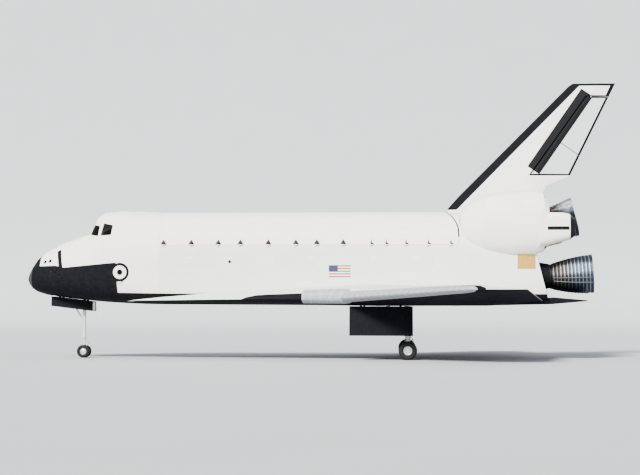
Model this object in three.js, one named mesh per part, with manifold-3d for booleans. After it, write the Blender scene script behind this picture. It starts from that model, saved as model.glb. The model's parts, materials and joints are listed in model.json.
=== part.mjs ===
// A winged space shuttle orbiter at full size, standing level on its landing gear, as a graph of named meshes.
// Millimetres, +Z up, +X aft, +Y to starboard. The origin is on the ground under the middle of its length and span.
// Body stations, heights and offsets from the centre plane are in inches, as on such a vehicle's drawings:
// stations run aft from a datum ahead of the nose, and heights run up from a datum below the wheels.

import * as THREE from "three";
import { mergeVertices } from "three/addons/utils/BufferGeometryUtils.js";
import Module from "manifold-3d";

const wasm = await Module();
wasm.setup();

// Driving dimensions
const INCH = 25.4;
const NOSE_STATION = 236;
const TAIL_STATION = 1701;
const MIDDLE = (NOSE_STATION + TAIL_STATION) / 2;
const GROUND = 139;

const SEAT_GAP = 0.03; // between fixed pieces that meet
const RUNNING_GAP = 0.012; // between a shaft and its bore
const END_GAP = 0.02; // at the end of a moving piece
const MOVING_GAP = 0.5; // between a moving piece and what it passes

const CABIN_SPLIT = 372; // height of the joint between the lower and upper forward fuselage
const FORWARD_END = 582; // station where the forward fuselage ends and the payload bay starts
const BAY_END = 1309;
const BASE = { top: [1468, 500], bottom: [1527, 270] }; // the aft bulkhead leans aft towards the belly
const SKIN = 5; // thickness of the cabin's wall

const SILL = 415.7; // height of the payload bay's edge
const BAY = { radius: 92, height: 400 };
const DOOR = { bottom: 416, innerRadius: 97, centre: 396 };
const DOOR_HINGE = { offset: 105.6, height: 415.85, radius: 1.4, knuckle: 5 };
const DOOR_HINGES = [592, 660, 726, 780, 848, 915, 966, 1030, 1098, 1134, 1182, 1236, 1290];

const HATCH = { station: 484, height: 350, radius: 20, thick: 3, window: 5, hinge: 1.6, taper: 0.12 };

const WING_HINGE = 1387; // station of the elevons' hinge line
const DIHEDRAL = 3.5; // degrees
const WING_ROOT = { offset: 105, height: 281 };
const ELEVONS = { inboard: [115, 312], outboard: [318, 454] };
const ELEVON_UP = 37; // degrees that the wing's upper cover leaves free above the elevons' nose

const FIN = { root: 503, tip: 818.7, sweep: 45, rootNose: 1277, hingeRoot: 1438, hingeSweep: 34.83 };
const RUDDER = { bottom: 590, split: 676, top: 785.1, fixedTop: 788.5, edge: 0.7, shaft: 4, noseReach: 130 };
// The panels' ends slope away from the centre plane, and the fin's pocket is wider than their round nose, so that
// they clear the fin with the rudder hard over and the speed brake open.
const RUDDER_SWING = { bottomSlope: 0.24, topSlope: 0.42, pocket: 1.24, nose: 0.97 };

const NOSE_WELL = { front: 298, back: 404, half: 22, roof: 336 };
const MAIN_WELL = { front: 1046, back: 1198, inner: 109, outer: 179, roof: 299 };
const NOSE_GEAR = { station: 378, tyre: 16, width: 8.8, track: 11 };
const MAIN_GEAR = { station: 1185, offset: 136, tyre: 22.25, width: 15, track: 15 };

const x = (station) => (station - MIDDLE) * INCH;
const z = (height) => (height - GROUND) * INCH;
const at = (station, offset, height) => new THREE.Vector3(x(station), offset * INCH, z(height));
const radians = THREE.MathUtils.degToRad;
const lerp = THREE.MathUtils.lerp;

// Fuselage sections.
// Columns: station, half width, height of the widest point, top, belly, roundness of the top and of the belly
// (2 is an ellipse, and more is squarer).
const FUSELAGE = [
  [236, 4, 335, 339, 331, 2, 2],
  [240, 13, 335, 350, 322, 2, 2],
  [248, 25, 335, 365, 312, 2, 2.1],
  [262, 39, 336, 385, 303, 2, 2.2],
  [285, 53, 338, 404, 296, 2, 2.4],
  [320, 68, 342, 423, 290, 2.1, 2.7],
  [360, 80, 347, 437, 285, 2.2, 3],
  [397, 88, 353, 449, 281.5, 2.4, 3.4],
  [419, 92, 357, 491, 279.5, 2.6, 3.8],
  [436, 95, 361, 502, 278, 2.6, 4.2],
  [485, 99, 372, 506, 275, 2.5, 4.8],
  [530, 102, 383, 504, 273, 2.2, 5.4],
  [582, 105, 396, 501, 272, 2, 6],
  [1040, 105, 396, 501, 270, 2, 6],
  [1309, 105, 396, 501, 268, 2, 6],
  [1440, 105, 396, 500, 270, 2, 6],
  [1530, 103, 394, 496, 272, 2, 6],
];
const TOP_STEPS = 8;
const BELLY_STEPS = 7;

// Wing sections, from the fuselage out to the tip.
// Columns: offset, nose station, trailing station, upper and lower half thickness, half thickness at the hinge,
// bluntness of the nose (1 is a straight wedge, 2 is an ellipse), lift above the wing's mean plane, and where along
// the chord to the hinge the wing is thickest.
const WING = [
  [78, 498, 1511.4, 42, 11, 11, 1.15, 0, 0.69],
  [105, 512, 1506.6, 40, 13, 11, 1.2, 0, 0.69],
  [146, 762, 1499.3, 33, 15, 10, 1.5, 0, 0.58],
  [188, 1024, 1491.9, 29, 17, 9, 2, 0, 0.42],
  [300, 1136, 1472, 21, 13, 7.4, 2, 0, 0.42],
  [440, 1278, 1447.2, 12, 8, 5, 2, 0, 0.42],
  [461, 1304, 1443.5, 8, 6, 4.4, 2, 0, 0.42],
  [468, 1330, 1440, 3, 2, 2.6, 2, 0, 0.42],
];

// Fin sections. Columns: height, nose station, trailing station, half thickness at 60% of the full chord, and at the tail.
const FIN_SECTIONS = [
  [494, 1286, 1512, 13.5, 9.5],
  [509, 1286, 1513, 13.4, 9.2],
  [540, 1314, 1517, 12.8, 8.2],
  [563, 1337, 1527, 12.4, 7],
  [589, 1363, 1587, 12, 1],
  [812, 1586, 1697.3, 6.2, 1],
  [818.7, 1596, 1701, 3.5, 0.6],
];

// Orbital manoeuvring pod sections. Columns: station, offset of the centre, its height, half width, half height.
const POD = [
  [1310, 52, 448, 20, 24],
  [1316, 57, 454, 36, 44],
  [1336, 63, 461, 47, 60],
  [1376, 71, 465, 57, 72],
  [1430, 76, 466, 62, 80],
  [1490, 78, 467, 62, 81],
  [1512, 79, 468, 58, 74],
  [1524, 80, 466, 50, 56],
];
const THRUSTER_HOUSING = [
  [1500, 104, 450, 33, 43],
  [1556, 106, 457, 31, 35],
  [1574, 106, 457, 28, 31],
  [1585, 105, 456, 22, 21],
];

// Bell profiles. Columns: distance ahead of the bell's rim, outer radius.
const MAIN_BELL = [
  [0, 46.5],
  [26, 44.5],
  [52, 40.5],
  [78, 34.5],
  [98, 27.5],
  [108, 22],
];
const ORBITAL_BELL = [
  [0, 22],
  [18, 19],
  [36, 14],
  [50, 8],
  [58, 5],
];

// Solids from geometry
function solid(geometry) {
  const bare = new THREE.BufferGeometry();
  const source = geometry.index ? geometry.toNonIndexed() : geometry;
  bare.setAttribute("position", source.getAttribute("position"));
  const merged = mergeVertices(bare, 1e-3);
  const made = new wasm.Manifold(
    new wasm.Mesh({
      numProp: 3,
      vertProperties: merged.attributes.position.array,
      triVerts: new Uint32Array(merged.index.array),
    }),
  );
  return made;
}

function geometryOf(body) {
  const mesh = body.getMesh();
  const stride = mesh.numProp;
  const points = new Float32Array(mesh.numVert * 3);
  for (let i = 0; i < mesh.numVert; i++) {
    points.set(mesh.vertProperties.subarray(i * stride, i * stride + 3), i * 3);
  }
  return new THREE.BufferGeometry()
    .setAttribute("position", new THREE.BufferAttribute(points, 3))
    .setIndex(new THREE.BufferAttribute(mesh.triVerts, 1));
}

const largest = (body) => body.decompose().sort((a, b) => b.volume() - a.volume())[0];

// A closed skin through rings of the same number of points, with a fan over each end.
function loft(rings) {
  const count = rings[0].length;
  const points = rings.flat();
  const ends = [rings[0], rings[rings.length - 1]].map((ring) =>
    ring.reduce((sum, p) => sum.add(p), new THREE.Vector3()).divideScalar(count),
  );
  points.push(...ends);
  const faces = [];
  for (let i = 0; i < rings.length - 1; i++) {
    for (let j = 0; j < count; j++) {
      const k = (j + 1) % count;
      const [a, b] = [i * count + j, i * count + k];
      const [c, d] = [a + count, b + count];
      // The shorter diagonal, so that a left side is split as the right side is
      if (points[a].distanceTo(points[d]) < points[b].distanceTo(points[c])) faces.push([a, b, d], [a, d, c]);
      else faces.push([a, b, c], [b, d, c]);
    }
  }
  const last = (rings.length - 1) * count;
  for (let j = 0; j < count; j++) {
    const k = (j + 1) % count;
    faces.push([k, j, points.length - 2], [last + j, last + k, points.length - 1]);
  }
  const volume = faces.reduce((sum, [a, b, c]) => sum + points[a].dot(points[b].clone().cross(points[c])), 0);
  const flat = [];
  for (const [a, b, c] of faces) {
    for (const i of volume < 0 ? [a, c, b] : [a, b, c]) {
      flat.push(points[i].x, points[i].y, points[i].z);
    }
  }
  return solid(new THREE.BufferGeometry().setAttribute("position", new THREE.Float32BufferAttribute(flat, 3)));
}

// A box between two corners given as station, offset, height.
function block(low, high) {
  const a = at(...low);
  const b = at(...high);
  const size = b.clone().sub(a);
  const middle = a.clone().add(b).multiplyScalar(0.5);
  return solid(new THREE.BoxGeometry(size.x, size.y, size.z).translate(middle.x, middle.y, middle.z));
}

// A plate cut to an outline in one plane and run along the third axis. Outline points are in that plane's axes.
function prism(outline, axis, from, to) {
  const place = {
    x: ([a, b], t) => at(t, a, b),
    y: ([a, b], t) => at(a, t, b),
    z: ([a, b], t) => at(a, b, t),
  }[axis];
  return loft([outline.map((p) => place(p, from)), outline.map((p) => place(p, to))]);
}

// A round bar or cone between two points, its facets outside or inside the stated radius.
function bar(from, to, radius, endRadius = radius, sides = 16) {
  const span = to.clone().sub(from);
  const turn = new THREE.Quaternion().setFromUnitVectors(new THREE.Vector3(0, 1, 0), span.clone().normalize());
  const middle = from.clone().add(to).multiplyScalar(0.5);
  const shape = new THREE.CylinderGeometry(endRadius * INCH, radius * INCH, span.length(), sides);
  return solid(shape.applyQuaternion(turn).translate(middle.x, middle.y, middle.z));
}

const around = (radius, sides) => radius / Math.cos(Math.PI / sides);
const join = (first, ...rest) => rest.reduce((sum, piece) => sum.add(piece), first);
const cut = (first, ...rest) => rest.reduce((left, piece) => left.subtract(piece), first);

// Fuselage
function fuselageRing([station, half, widest, top, belly, roundTop, roundBelly], inset) {
  const quarter = (steps, from, to, round, reach) => {
    const points = [];
    for (let i = 0; i < steps; i++) {
      const t = lerp(from, to, i / steps);
      const c = Math.cos(t);
      const s = Math.sin(t);
      const across = Math.sign(c) * Math.abs(c) ** (2 / round) * (half - inset);
      points.push(at(station, across, widest + Math.abs(s) ** (2 / round) * reach));
    }
    return points;
  };
  const right = Math.PI / 2;
  return [
    ...quarter(TOP_STEPS * 2, 0, 2 * right, roundTop, top - inset - widest),
    ...quarter(BELLY_STEPS * 2, 2 * right, 4 * right, roundBelly, belly + inset - widest),
  ];
}

function sectionAt(station) {
  const next = FUSELAGE.findIndex((row) => row[0] >= station);
  if (next <= 0) return FUSELAGE[0];
  const [a, b] = [FUSELAGE[next - 1], FUSELAGE[next]];
  const share = (station - a[0]) / (b[0] - a[0]);
  return a.map((value, i) => lerp(value, b[i], share));
}

function hull(from, to, inset = 0) {
  const between = FUSELAGE.filter((row) => row[0] > from && row[0] < to);
  return loft([sectionAt(from), ...between, sectionAt(to)].map((row) => fuselageRing(row, inset)));
}

const WIDE = 600; // reaches past the vehicle on either side
const HIGH = 900;
const LOW = 100;

const noseCap = hull(NOSE_STATION, 250);
const nose = hull(250 + SEAT_GAP, FORWARD_END);

// The forward thrusters' module is a box let into the nose.
const MODULE = { front: 262, back: 350, half: 46, floor: 384 };
const moduleSpace = (grow) =>
  block(
    [MODULE.front - grow, -MODULE.half - grow, MODULE.floor - grow],
    [MODULE.back + grow, MODULE.half + grow, HIGH],
  );
const forwardThrusters = nose.intersect(moduleSpace(0));

const cabinSpace = join(
  hull(300, FORWARD_END - 10, SKIN).intersect(block([384, -WIDE, 412], [FORWARD_END - 10, WIDE, HIGH])),
  hull(300, FORWARD_END - 10, SKIN).intersect(block([416, -WIDE, 300], [FORWARD_END - 10, WIDE, 413])),
);
const noseWell = block([NOSE_WELL.front, -NOSE_WELL.half, LOW], [NOSE_WELL.back, NOSE_WELL.half, NOSE_WELL.roof]);

const hatchCentre = (offset) => at(HATCH.station, offset, HATCH.height);
// A cone that narrows inwards, so that the plug swings out without touching
function hatchCone(grow) {
  const [inner, outer] = [-90, -110].map((offset) => HATCH.radius + grow - (offset + 100) * HATCH.taper);
  return bar(hatchCentre(-90), hatchCentre(-110), around(inner, 28), around(outer, 28), 28);
}
const hatchHole = hatchCone(MOVING_GAP / 2);

// Windows of the starboard side as outlines. The first is seen from ahead, as offset and height; the next two from
// the side, as station and height; the last from above, as station and offset.
const WINDOWS = {
  windshield_front: { axis: "x", from: 380, to: 470, outline: [[4, 456], [38, 451], [34, 478], [4, 483]] },
  windshield_middle: { axis: "y", from: 46, to: 130, outline: [[405, 443], [427, 439], [430, 464], [414, 468]] },
  windshield_side: { axis: "y", from: 46, to: 130, outline: [[434, 440], [460, 442], [463, 466], [440, 471]] },
  overhead_window: { axis: "z", from: 470, to: 540, outline: [[489, 7], [511, 7], [511, 27], [489, 27]] },
};

function shrunk(outline, by) {
  const centre = outline.reduce(([a, b], [c, d]) => [a + c / outline.length, b + d / outline.length], [0, 0]);
  return outline.map(([a, b]) => {
    const reach = Math.hypot(a - centre[0], b - centre[1]);
    const keep = (reach - by) / reach;
    return [lerp(centre[0], a, keep), lerp(centre[1], b, keep)];
  });
}

function windowPrism({ axis, from, to, outline }, side, shrink) {
  const flip = axis === "x" ? ([a, b]) => [side * a, b] : axis === "z" ? ([a, b]) => [a, side * b] : (p) => p;
  const [start, end] = axis === "y" ? [side * from, side * to] : [from, to];
  return prism(shrunk(outline, shrink).map(flip), axis, start, end);
}

const windowHoles = Object.values(WINDOWS).flatMap((w) => [windowPrism(w, 1, 0), windowPrism(w, -1, 0)]);
const glassShell = cut(hull(300, FORWARD_END - 4, 1), hull(300, FORWARD_END - 4, 2.2));

const aboveSplit = block([MODULE.back + 2, -WIDE, CABIN_SPLIT], [FORWARD_END, WIDE, HIGH]);
const aboveSplitGrown = block(
  [MODULE.back + 2 - SEAT_GAP, -WIDE, CABIN_SPLIT - SEAT_GAP],
  [FORWARD_END + 1, WIDE, HIGH],
);
const lowerForward = () =>
  join(
    cut(nose, aboveSplitGrown, moduleSpace(SEAT_GAP), cabinSpace, noseWell, hatchHole),
    ...hatchHingeHalf([HATCH.station - 4, HATCH.station], false),
  );
const upperForward = cut(nose.intersect(aboveSplit), cabinSpace, ...windowHoles);

// The flight deck with its two seats and instrument panel, let into the cabin.
function flightDeck() {
  const floor = hull(300, FORWARD_END - 11, SKIN + SEAT_GAP).intersect(
    block([416 + SEAT_GAP, -WIDE, 413 + SEAT_GAP], [FORWARD_END - 11, WIDE, 416]),
  );
  const panel = block([422, -40, 415], [432, 40, 446]);
  const seats = [-24, 24].flatMap((offset) => [
    block([458, offset - 3, 415], [468, offset + 3, 430]),
    block([452, offset - 10, 429], [474, offset + 10, 434]),
    block([470, offset - 10, 430], [476, offset + 10, 462]),
    block([470, offset - 5, 461], [476, offset + 5, 472]),
  ]);
  const console = block([434, -6, 415], [466, 6, 432]);
  return join(floor, panel, console, ...seats);
}

// Side hatch: a plug of the wall with its hinge below it and a round window.
const hatchSkin = cut(hull(440, 570), hull(440, 570, HATCH.thick));
const hatchEdge = sectionAt(HATCH.station)[1];
const hatchHinge = { offset: -(hatchEdge + HATCH.hinge), height: HATCH.height - HATCH.radius - 1.3 };
const HATCH_KNUCKLE = { radius: 1.1, length: 4, outside: 1.8 + hatchEdge, clear: 0.7 + hatchEdge, into: hatchEdge - 1.7 };
function hatchKnuckle(start) {
  const { offset, height } = hatchHinge;
  const end = start + HATCH_KNUCKLE.length - SEAT_GAP;
  return bar(at(start, offset, height), at(end, offset, height), HATCH_KNUCKLE.radius, undefined, 10);
}
function hatchHingeHalf(starts, onHatch) {
  const { outside, clear, into, length } = HATCH_KNUCKLE;
  const { height } = hatchHinge;
  return starts.flatMap((start) => {
    const end = start + length - SEAT_GAP;
    const arms = onHatch
      ? [
          block([start, -outside, height + 0.2], [end, -clear, height + 6]),
          block([start, -outside, height + 3.4], [end, -into, height + 6.4]),
        ]
      : [block([start, -outside, height - 6], [end, -into, height - 0.2])];
    return [hatchKnuckle(start), ...arms];
  });
}
function sideHatch() {
  const bore = bar(hatchCentre(-70), hatchCentre(-140), around(HATCH.window + 0.4, 20), undefined, 20);
  return join(cut(hatchSkin.intersect(hatchCone(0)), bore), ...hatchHingeHalf([HATCH.station - 8, HATCH.station + 4], true));
}
function hatchWindow() {
  const pane = cut(hull(440, 570, 0.8), hull(440, 570, 2));
  return pane.intersect(bar(hatchCentre(-80), hatchCentre(-130), around(HATCH.window + 0.38, 20), undefined, 20));
}

// Mid fuselage: an open trough with the payload bay in it, and a hinge knuckle beside each of the doors' own.
const bayAxis = (station) => at(station, 0, BAY.height);
const bay = bar(bayAxis(FORWARD_END - 5), bayAxis(BAY_END + 5), BAY.radius, undefined, 40);

function knuckles(shift, outer) {
  const { offset, height, radius, knuckle } = DOOR_HINGE;
  return DOOR_HINGES.flatMap((station) => {
    const start = station + shift;
    const end = start + knuckle - SEAT_GAP;
    const web = outer
      ? block([start, 101, height + 0.2], [end, offset, height + 4.2])
      : block([start, 101, height - 4.2], [end, offset, height - 0.2]);
    return [bar(at(start, offset, height), at(end, offset, height), radius, undefined, 8), web];
  });
}

function mirrored(body) {
  const mesh = geometryOf(body);
  const flipped = mesh.clone().applyMatrix4(new THREE.Matrix4().makeScale(1, -1, 1));
  const order = flipped.index.array;
  for (let i = 0; i < order.length; i += 3) [order[i], order[i + 1]] = [order[i + 1], order[i]];
  return solid(flipped);
}

function midFuselage() {
  const trough = hull(FORWARD_END + SEAT_GAP, BAY_END - SEAT_GAP).intersect(
    block([FORWARD_END, -WIDE, LOW], [BAY_END, WIDE, SILL]),
  );
  const bodyKnuckles = join(...knuckles(-DOOR_HINGE.knuckle, false));
  return cut(join(trough, bodyKnuckles, mirrored(bodyKnuckles)), bay);
}

// The doors' aft edge curves forward towards the top, where a lip of the aft fuselage carries the fin's root. It is
// turned about the hinge, so that the door swings past the lip. Columns: distance from the hinge line, station.
const DOOR_END = [[26, 1309], [46, 1308], [62, 1304], [78, 1298], [93, 1292], [110, 1284], [136, 1273], [150, 1266]];
const DOOR_END_SIDES = 48;
function aheadOfDoorEnd(gap) {
  const start = FORWARD_END - 1;
  const widest = DOOR_END[DOOR_END.length - 1][0];
  const edge = [[0, DOOR_END[0][1]], ...DOOR_END].map(([r, station]) => [r, station - gap]);
  const points = [[0, start], [widest, start], ...edge.reverse()].map(
    ([r, station]) => new THREE.Vector2(r * INCH, x(station)),
  );
  const shape = new THREE.LatheGeometry(points, DOOR_END_SIDES).rotateZ(-Math.PI / 2);
  return solid(shape.translate(0, DOOR_HINGE.offset * INCH, z(DOOR_HINGE.height)));
}

function payloadDoor() {
  const arch = hull(FORWARD_END + MOVING_GAP / 2, BAY_END + 1).intersect(
    block([FORWARD_END, 0.15, DOOR.bottom], [BAY_END + 1, WIDE, HIGH]),
  );
  const inside = bar(at(FORWARD_END - 5, 0, DOOR.centre), at(BAY_END + 5, 0, DOOR.centre), DOOR.innerRadius, undefined, 48);
  return cut(join(arch, ...knuckles(0, true)), inside).intersect(aheadOfDoorEnd(MOVING_GAP));
}

// Aft fuselage, cut by the leaning base, with a ring that carries each main engine's bell.
// Each is given by the middle of its bell's rim and the length of bell that shows.
const MAIN_ENGINES = {
  upper: { rim: [1596, 0, 486], pitch: 16, yaw: 0, shown: 82 },
  left: { rim: [1634, -61, 346], pitch: 3, yaw: -3.5, shown: 104 },
  right: { rim: [1634, 61, 346], pitch: 3, yaw: 3.5, shown: 104 },
};

function thrustLine({ pitch, yaw }) {
  const flat = Math.cos(radians(pitch));
  return new THREE.Vector3(flat * Math.cos(radians(yaw)), flat * Math.sin(radians(yaw)), Math.sin(radians(pitch)));
}

const behindRim = (engine, ahead) => at(...engine.rim).addScaledVector(thrustLine(engine), -ahead * INCH);
const bellRadius = (profile, ahead) => {
  const next = profile.findIndex((row) => row[0] >= ahead);
  const [a, b] = [profile[next - 1], profile[next]];
  return lerp(a[1], b[1], (ahead - a[0]) / (b[0] - a[0]));
};

// The dome round each engine's throat, behind the base
function engineDome(engine, grow) {
  const { shown } = engine;
  const end = bellRadius(MAIN_BELL, shown) + 5;
  return bar(behindRim(engine, shown + 54), behindRim(engine, shown - grow), end + 12 + grow, end + grow, 24);
}

// Room for the upper engine between the pods and under the fin
function upperEngineSpace() {
  const { upper } = MAIN_ENGINES;
  return [engineDome(upper, 1), bar(behindRim(upper, upper.shown + 6), behindRim(upper, 0), 42, 54, 24)];
}

const baseLine = (height) => {
  const { top, bottom } = BASE;
  return lerp(bottom[0], top[0], (height - bottom[1]) / (top[1] - bottom[1]));
};
const baseCut = prism([[baseLine(520), 520], [1800, 520], [1800, 240], [baseLine(240), 240]], "y", -WIDE, WIDE);

function aftFuselage() {
  const lip = cut(
    hull(DOOR_END[DOOR_END.length - 1][1], BAY_END + 2).intersect(block([1200, 0, 420], [BAY_END + 2, WIDE, HIGH])),
    aheadOfDoorEnd(0),
    bar(at(FORWARD_END, 0, DOOR.centre), at(BAY_END, 0, DOOR.centre), DOOR.innerRadius, undefined, 48),
  );
  const body = cut(hull(BAY_END, 1530), baseCut);
  const domes = Object.values(MAIN_ENGINES).map((engine) => engineDome(engine, 0));
  return join(cut(join(body, lip, mirrored(lip), ...domes), bodyFlapSpace()), ...bodyFlapLugs());
}

// A bell about its thrust line, open aft and closed at the end next to its dome
function bell(profile, wall, rim, line, shown, sides) {
  const rows = [...profile.filter((row) => row[0] < shown), [shown, bellRadius(profile, shown)]];
  const outer = rows.map(([ahead, radius]) => new THREE.Vector2(radius * INCH, -ahead * INCH));
  const inner = rows.slice(0, -1).map(([ahead, radius]) => new THREE.Vector2((radius - wall) * INCH, -ahead * INCH));
  const floor = -(shown - 6) * INCH;
  const last = inner[inner.length - 1];
  const shape = [
    new THREE.Vector2(0, floor),
    new THREE.Vector2(last.x * 0.62, floor),
    ...inner.reverse(),
    ...outer,
    new THREE.Vector2(0, -shown * INCH),
  ];
  const turn = new THREE.Quaternion().setFromUnitVectors(new THREE.Vector3(0, 1, 0), line);
  const place = (points) => new THREE.LatheGeometry(points, sides).applyQuaternion(turn).translate(rim.x, rim.y, rim.z);
  const made = solid(place(shape));
  return made.volume() > 0 ? made : solid(place(shape.reverse()));
}

function mainBell(engine) {
  return bell(MAIN_BELL, 1.2, at(...engine.rim), thrustLine(engine), engine.shown - SEAT_GAP, 24);
}

// Orbital manoeuvring pods on the aft fuselage's shoulders
const ellipseRing = ([station, offset, height, half, tall], sides = 24, round = 2) => {
  const ring = [];
  for (let i = 0; i < sides; i++) {
    const t = (2 * Math.PI * i) / sides;
    const [c, s] = [Math.cos(t), Math.sin(t)];
    const across = Math.sign(c) * Math.abs(c) ** (2 / round) * half;
    const up = Math.sign(s) * Math.abs(s) ** (2 / round) * tall;
    ring.push(at(station, offset + across, height + up));
  }
  return ring;
};

const ORBITAL_ENGINE = { rim: [1584, 88, 508], pitch: 14, yaw: 6.5, shown: 56 };
function orbitalPod() {
  const pod = loft(POD.map((row) => ellipseRing(row, 24, 2.4)));
  const housing = loft(THRUSTER_HOUSING.map((row) => ellipseRing(row, 24, 3.6)));
  const { shown } = ORBITAL_ENGINE;
  const bellSpace = bar(behindRim(ORBITAL_ENGINE, shown + 2), behindRim(ORBITAL_ENGINE, -40), 20, 27, 20);
  const boss = bar(behindRim(ORBITAL_ENGINE, shown + 30), behindRim(ORBITAL_ENGINE, shown), 15, 9, 16);
  const whole = join(cut(join(pod, housing), bellSpace), boss);
  const clear = block([BAY_END + 1, 14, LOW], [1700, WIDE, HIGH]);
  const neighbours = [hull(BAY_END - 1, 1530, -SEAT_GAP), vertical(-SEAT_GAP), ...upperEngineSpace()];
  return largest(cut(whole.intersect(clear), ...neighbours));
}
function orbitalBell() {
  const { rim, shown } = ORBITAL_ENGINE;
  return bell(ORBITAL_BELL, 0.8, at(...rim), thrustLine(ORBITAL_ENGINE), shown - SEAT_GAP, 20);
}

// Body flap under the engines
const FLAP = { hinge: 1532, height: 280, half: 126, nose: 8, chord: 81, tail: 1, lug: 4, lugHalf: 2.5 };
const FLAP_LUGS = [-84, -30, 30, 84];
function bodyFlap() {
  const { hinge, height, half, nose, chord, tail, lugHalf } = FLAP;
  const wedge = prism(
    [[hinge, height - nose], [hinge + chord, height - tail], [hinge + chord, height + tail], [hinge, height + nose]],
    "y",
    -half,
    half,
  );
  const slots = FLAP_LUGS.map((offset) => {
    const reach = lugHalf + END_GAP;
    return bar(at(hinge, offset - reach, height), at(hinge, offset + reach, height), nose + 1, undefined, 20);
  });
  return cut(join(wedge, bar(at(hinge, -half, height), at(hinge, half, height), nose, undefined, 24)), ...slots);
}
function bodyFlapSpace() {
  const { hinge, height, half, nose } = FLAP;
  const reach = half + MOVING_GAP;
  return bar(at(hinge, -reach, height), at(hinge, reach, height), around(nose + MOVING_GAP, 24), undefined, 24);
}
const bodyFlapLugs = () =>
  FLAP_LUGS.flatMap((offset) => {
    const { hinge, height, lug, lugHalf } = FLAP;
    return [
      bar(at(hinge, offset - lugHalf, height), at(hinge, offset + lugHalf, height), lug, undefined, 16),
      block([1516, offset - lugHalf, height - lug], [hinge, offset + lugHalf, height + lug]),
    ];
  });

// Wing
function wingRing([offset, noseAt, tailAt, upper, lower, hinge, blunt, lift, crest], grow = 0) {
  const mean = WING_ROOT.height + (offset - WING_ROOT.offset) * Math.tan(radians(DIHEDRAL)) + lift;
  const reach = WING_HINGE - noseAt;
  const thick = (share, full) => {
    if (share <= crest) return full * (1 - (1 - share / crest) ** blunt) ** (1 / blunt);
    return full - (full - hinge) * ((share - crest) / (1 - crest)) ** 1.7;
  };
  const ahead = [0.03, 0.12, 0.33, 0.64, 1].map((share) => share * crest);
  const shares = [...ahead, lerp(crest, 1, 0.31), lerp(crest, 1, 0.65), 1];
  const ring = [at(noseAt - grow, offset, mean)];
  for (const share of shares) ring.push(at(noseAt + share * reach, offset, mean + thick(share, upper) + grow));
  ring.push(at(tailAt + grow, offset, mean + 0.5 + grow), at(tailAt + grow, offset, mean - 0.5 - grow));
  for (const share of [...shares].reverse()) {
    ring.push(at(noseAt + share * reach, offset, mean - thick(share, lower) - grow));
  }
  return ring;
}

const wholeWing = () => loft(WING.map((row) => wingRing(row)));

// The hinge line climbs outboard with the wing, so what follows it is made level and then turned about the root.
function climbed(geometrySolid) {
  const root = at(WING_HINGE, WING_ROOT.offset, WING_ROOT.height);
  const shape = geometryOf(geometrySolid).translate(-root.x, -root.y, -root.z);
  return solid(shape.applyMatrix4(new THREE.Matrix4().makeRotationX(radians(DIHEDRAL))).translate(root.x, root.y, root.z));
}

const hingeHalf = (offset) => {
  const next = WING.findIndex((row) => row[0] >= offset);
  const [a, b] = [WING[next - 1], WING[next]];
  return lerp(a[5], b[5], (offset - a[0]) / (b[0] - a[0]));
};
function elevonNose([inner, outer], grow) {
  const end = grow ? END_GAP : 0;
  const [a, b] = [inner - end, outer + end].map((offset) => at(WING_HINGE, offset, WING_ROOT.height));
  const side = grow ? around(1, 24) : 1;
  return bar(a, b, (hingeHalf(inner) * 0.97 + grow) * side, (hingeHalf(outer) * 0.97 + grow) * side, 24);
}
const elevonBox = ([inner, outer], grow) =>
  block([WING_HINGE - grow, inner - (grow && END_GAP), 200], [1560, outer + (grow && END_GAP), 400]);
// The same box turned up about the hinge, as the elevon turns
function elevonBoxRaised(span) {
  const hinge = at(WING_HINGE, 0, WING_ROOT.height);
  return solid(
    geometryOf(elevonBox(span, END_GAP))
      .translate(-hinge.x, 0, -hinge.z)
      .applyMatrix4(new THREE.Matrix4().makeRotationY(-radians(ELEVON_UP)))
      .translate(hinge.x, 0, hinge.z),
  ).intersect(block([WING_HINGE - 40, 0, WING_ROOT.height], [1700, WIDE, HIGH]));
}

function elevon(span) {
  return join(wholeWing().intersect(climbed(elevonBox(span, 0))), climbed(elevonNose(span, 0)));
}

// Plan of the leading edge's panels: a band behind the nose line, from the glove to the tip.
const EDGE_BAND = [[937, 152], [1036, 171], [1296, 431], [1336, 469.5], [1240, 480], [960, 210], [928, 200]];
// An outline given anticlockwise, with each side moved outwards
function grownOutline(outline, by) {
  const count = outline.length;
  const normals = outline.map(([a, b], i) => {
    const [c, d] = outline[(i + 1) % count];
    const span = Math.hypot(c - a, d - b);
    return [(d - b) / span, (a - c) / span];
  });
  return outline.map(([a, b], i) => {
    const [p, q] = [normals[(i + count - 1) % count], normals[i]];
    const reach = by / (1 + p[0] * q[0] + p[1] * q[1]);
    return [a + (p[0] + q[0]) * reach, b + (p[1] + q[1]) * reach];
  });
}
const edgeBand = (grow) => prism(grownOutline(EDGE_BAND, grow), "z", 200, 420);

const mainWell = () =>
  block([MAIN_WELL.front, MAIN_WELL.inner, LOW], [MAIN_WELL.back, MAIN_WELL.outer, MAIN_WELL.roof]);

function wing() {
  const spans = Object.values(ELEVONS);
  const spaces = spans.flatMap((span) => [
    climbed(elevonBox(span, MOVING_GAP)),
    climbed(elevonNose(span, MOVING_GAP)),
    climbed(elevonBoxRaised(span)),
  ]);
  const body = hull(FORWARD_END - 130, 1529, -SEAT_GAP);
  return largest(cut(wholeWing(), body, edgeBand(SEAT_GAP), mainWell(), ...spaces));
}
const wingEdge = () => largest(wholeWing().intersect(edgeBand(0)));

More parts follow.
